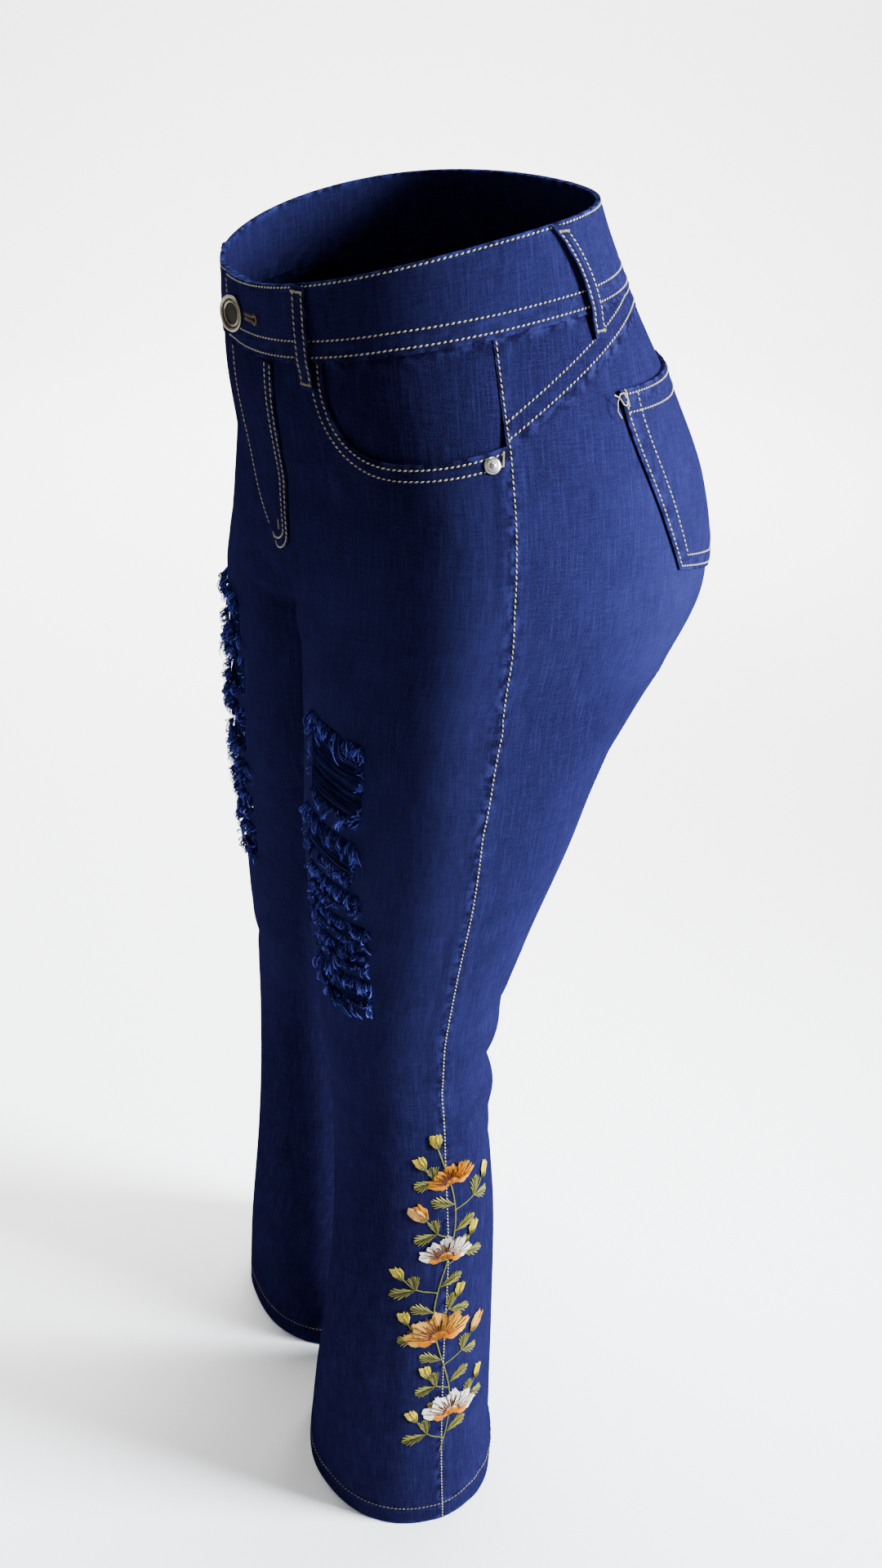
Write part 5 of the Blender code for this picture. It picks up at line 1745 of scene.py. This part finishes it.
button_z = float(waist_z(BUTTON_TURN) - BUTTON_DROP * band_height(BUTTON_TURN))
button_seat, button_axis = on_cloth("waistband", 1, BUTTON_TURN, button_z)
button_seat = button_seat + BUTTON_RAISED * button_axis
button_axis = button_axis + np.array([BUTTON_TILT, 0, 0])
turned_part("button", BUTTON_PROFILE, button_seat, button_axis, BRASS, 96, 32)
for side, leg in SIDES.items():
    rivet_z = float(scoop_z(RIVET_TURN)) - RIVET_DROP
    rivet_turn = float(front_place(RIVET_TURN, rivet_z))
    seat, axis = on_cloth(f"front_{side}", leg, rivet_turn, rivet_z)
    turned_part(f"rivet_{side}", RIVET_PROFILE, seat, axis, NICKEL, 40)

# %% [markdown]
# ## Buttonhole and a loose end
# The lap's buttonhole is a slit bound in close radial stitches, with an eye at its far end. Where the
# back pocket's corner is tacked, the machine left a tail of thread, as it often does.

# %% Buttonhole stitches, and the thread tail
EYE_TURN, EYE_DROP = 0.192, 0.50


def bind_buttonhole():
    quarter = float(front_length(-0.05))
    middle = float(waist_z(EYE_TURN) - EYE_DROP * band_height(EYE_TURN))
    angles = np.linspace(0.25 * math.pi, 1.75 * math.pi, 30) + math.pi
    s = 0.0026 * np.cos(angles)
    h = 0.0024 * np.sin(angles)
    run = np.linspace(-0.0020, -0.0140, 22)
    s = np.concatenate([s, run, run])
    h = np.concatenate([h, np.full(22, 0.0013), np.full(22, -0.0013)])
    points, away = laid_on(["waistband"], 1, EYE_TURN + s / quarter, middle + h)
    centre_s = np.concatenate([np.zeros(30), run, run])
    hub = skin(1, EYE_TURN + centre_s / quarter, np.full(len(s), middle))
    along = points - hub
    along -= (along * away).sum(-1, keepdims=True) * away
    size = np.tile((0.0026, *FINE_THREAD), (len(s), 1))
    stitches("buttonhole_binding", [(points + 0.0004 * away, along, away, size)], BUTTONHOLE)


def thread_tail():
    turn, z = (float(value) for value in pocket_place(*POCKET_TACK))
    quarter = float(back_length(z))
    shape = (
        ((0.000, 0.000, 0.0004), (-0.003, 0.003, 0.0020), (-0.008, 0.003, 0.0032), (-0.012, -0.001, 0.0030),
         (-0.013, -0.006, 0.0024), (-0.010, -0.010, 0.0018)),
        ((0.001, -0.002, 0.0004), (-0.003, -0.004, 0.0020), (-0.007, -0.003, 0.0030), (-0.010, 0.001, 0.0036),
         (-0.014, 0.003, 0.0034)),
    )
    lines = []
    for places in shape:
        s, h, out = np.array(places).T
        lines.append(skin(1, turn + s / quarter, z + h, POCKET_OUT + out))
    thick = [np.full(len(line), 0.00040) for line in lines]
    tint = [np.ones(len(line)) for line in lines]
    yarns("thread_tail", lines, thick, tint, TOPSTITCH, 6)


bind_buttonhole()
thread_tail()

# %% [markdown]
# ## Stage, light and camera
# The camera stands on the left of the jeans, a little above the waist and close by, so the legs run away
# downwards. The brightest light comes from behind the left side, and the front lies in soft shade.

# %% Stage
FLOOR_Z = -1.0408
STUDIO_WHITE = (0.86, 0.865, 0.87)
SKY_COLOUR, SKY_STRENGTH = (0.90, 0.93, 1.0, 1), 0.02


def studio_floor():
    """A pale floor that rises in a soft curve into a far wall all round."""
    reach, rise, wall, steps = 4.5, 1.2, 6.0, 12
    profile = [(0.0, 0.0), (reach, 0.0)]
    bends = np.linspace(0, math.pi / 2, steps)[1:]
    profile += [(reach + rise * math.sin(a), rise * (1 - math.cos(a))) for a in bends]
    profile.append((reach + rise, wall))
    around = np.linspace(0, 2 * math.pi, 73)[:-1]
    points = [(r * math.cos(a), r * math.sin(a), FLOOR_Z + h) for r, h in profile[1:] for a in around]
    points.append((0, 0, FLOOR_Z))
    count = len(around)
    faces = ring_faces(len(profile) - 1, count)
    faces += [(len(points) - 1, k, (k + 1) % count) for k in range(count)]
    paint = Finish("studio_white", 0.9)
    paint.set("Base Color", (*STUDIO_WHITE, 1))
    floor = piece_from("studio_floor", points, faces, paint.material)


studio_floor()


# %% Light
def lamp(name, place, target, size, power, colour, spread):
    """A soft rectangular light, which sends its light out within an angle in degrees."""
    light = bpy.data.lights.new(name, "AREA")
    light.spread = math.radians(spread)
    light.shape = "RECTANGLE"
    light.size, light.size_y = size
    light.energy = power
    light.color = colour
    made = bpy.data.objects.new(name, light)
    bpy.context.scene.collection.objects.link(made)
    made.location = place
    made.rotation_euler = (Vector(target) - Vector(place)).to_track_quat("-Z", "Y").to_euler()


lamp("key", (1.5, 2.4, 0.5), (0.0, 0.0, -0.45), (1.0, 1.6), 140, (0.84, 0.92, 1.0), 60)
lamp("backdrop", (-2.2, 0.9, 3.2), (-3.4, 1.4, -1.0), (3.0, 3.0), 640, (1.0, 0.985, 0.97), 110)
lamp("top", (-0.2, 0.4, 2.4), (-0.1, 0.1, -0.9), (0.8, 0.8), 15, (1.0, 1.0, 1.0), 70)

print("lamps:", len(bpy.data.lights))

world = bpy.data.worlds.new("studio")
world.use_nodes = True
sky = world.node_tree.nodes["Background"]
sky.inputs["Color"].default_value = SKY_COLOUR
sky.inputs["Strength"].default_value = SKY_STRENGTH
bpy.context.scene.world = world

# %% Camera
CAMERA_PLACE = (0.9062, -0.3440, 0.1095)
CAMERA_YAW, CAMERA_PITCH, CAMERA_ROLL = 2.7367, -0.4932, 0.0539
FOCAL_IN_PIXELS, FRAME_TALL, SENSOR = 1751.75, 1920, 36.0


def add_camera():
    yaw, pitch = CAMERA_YAW, CAMERA_PITCH
    forward = Vector((math.cos(pitch) * math.cos(yaw), math.cos(pitch) * math.sin(yaw), math.sin(pitch)))
    level = forward.cross(Vector((0, 0, 1))).normalized()
    upright = level.cross(forward)
    right = level * math.cos(CAMERA_ROLL) + upright * math.sin(CAMERA_ROLL)
    up = upright * math.cos(CAMERA_ROLL) - level * math.sin(CAMERA_ROLL)
    lens = bpy.data.cameras.new("camera")
    lens.sensor_width = SENSOR
    lens.lens = SENSOR * FOCAL_IN_PIXELS / FRAME_TALL
    camera = bpy.data.objects.new("camera", lens)
    camera.matrix_world = Matrix((right, up, -forward)).transposed().to_4x4()
    camera.location = CAMERA_PLACE
    bpy.context.scene.collection.objects.link(camera)
    bpy.context.scene.camera = camera


add_camera()
print("camera at", CAMERA_PLACE)
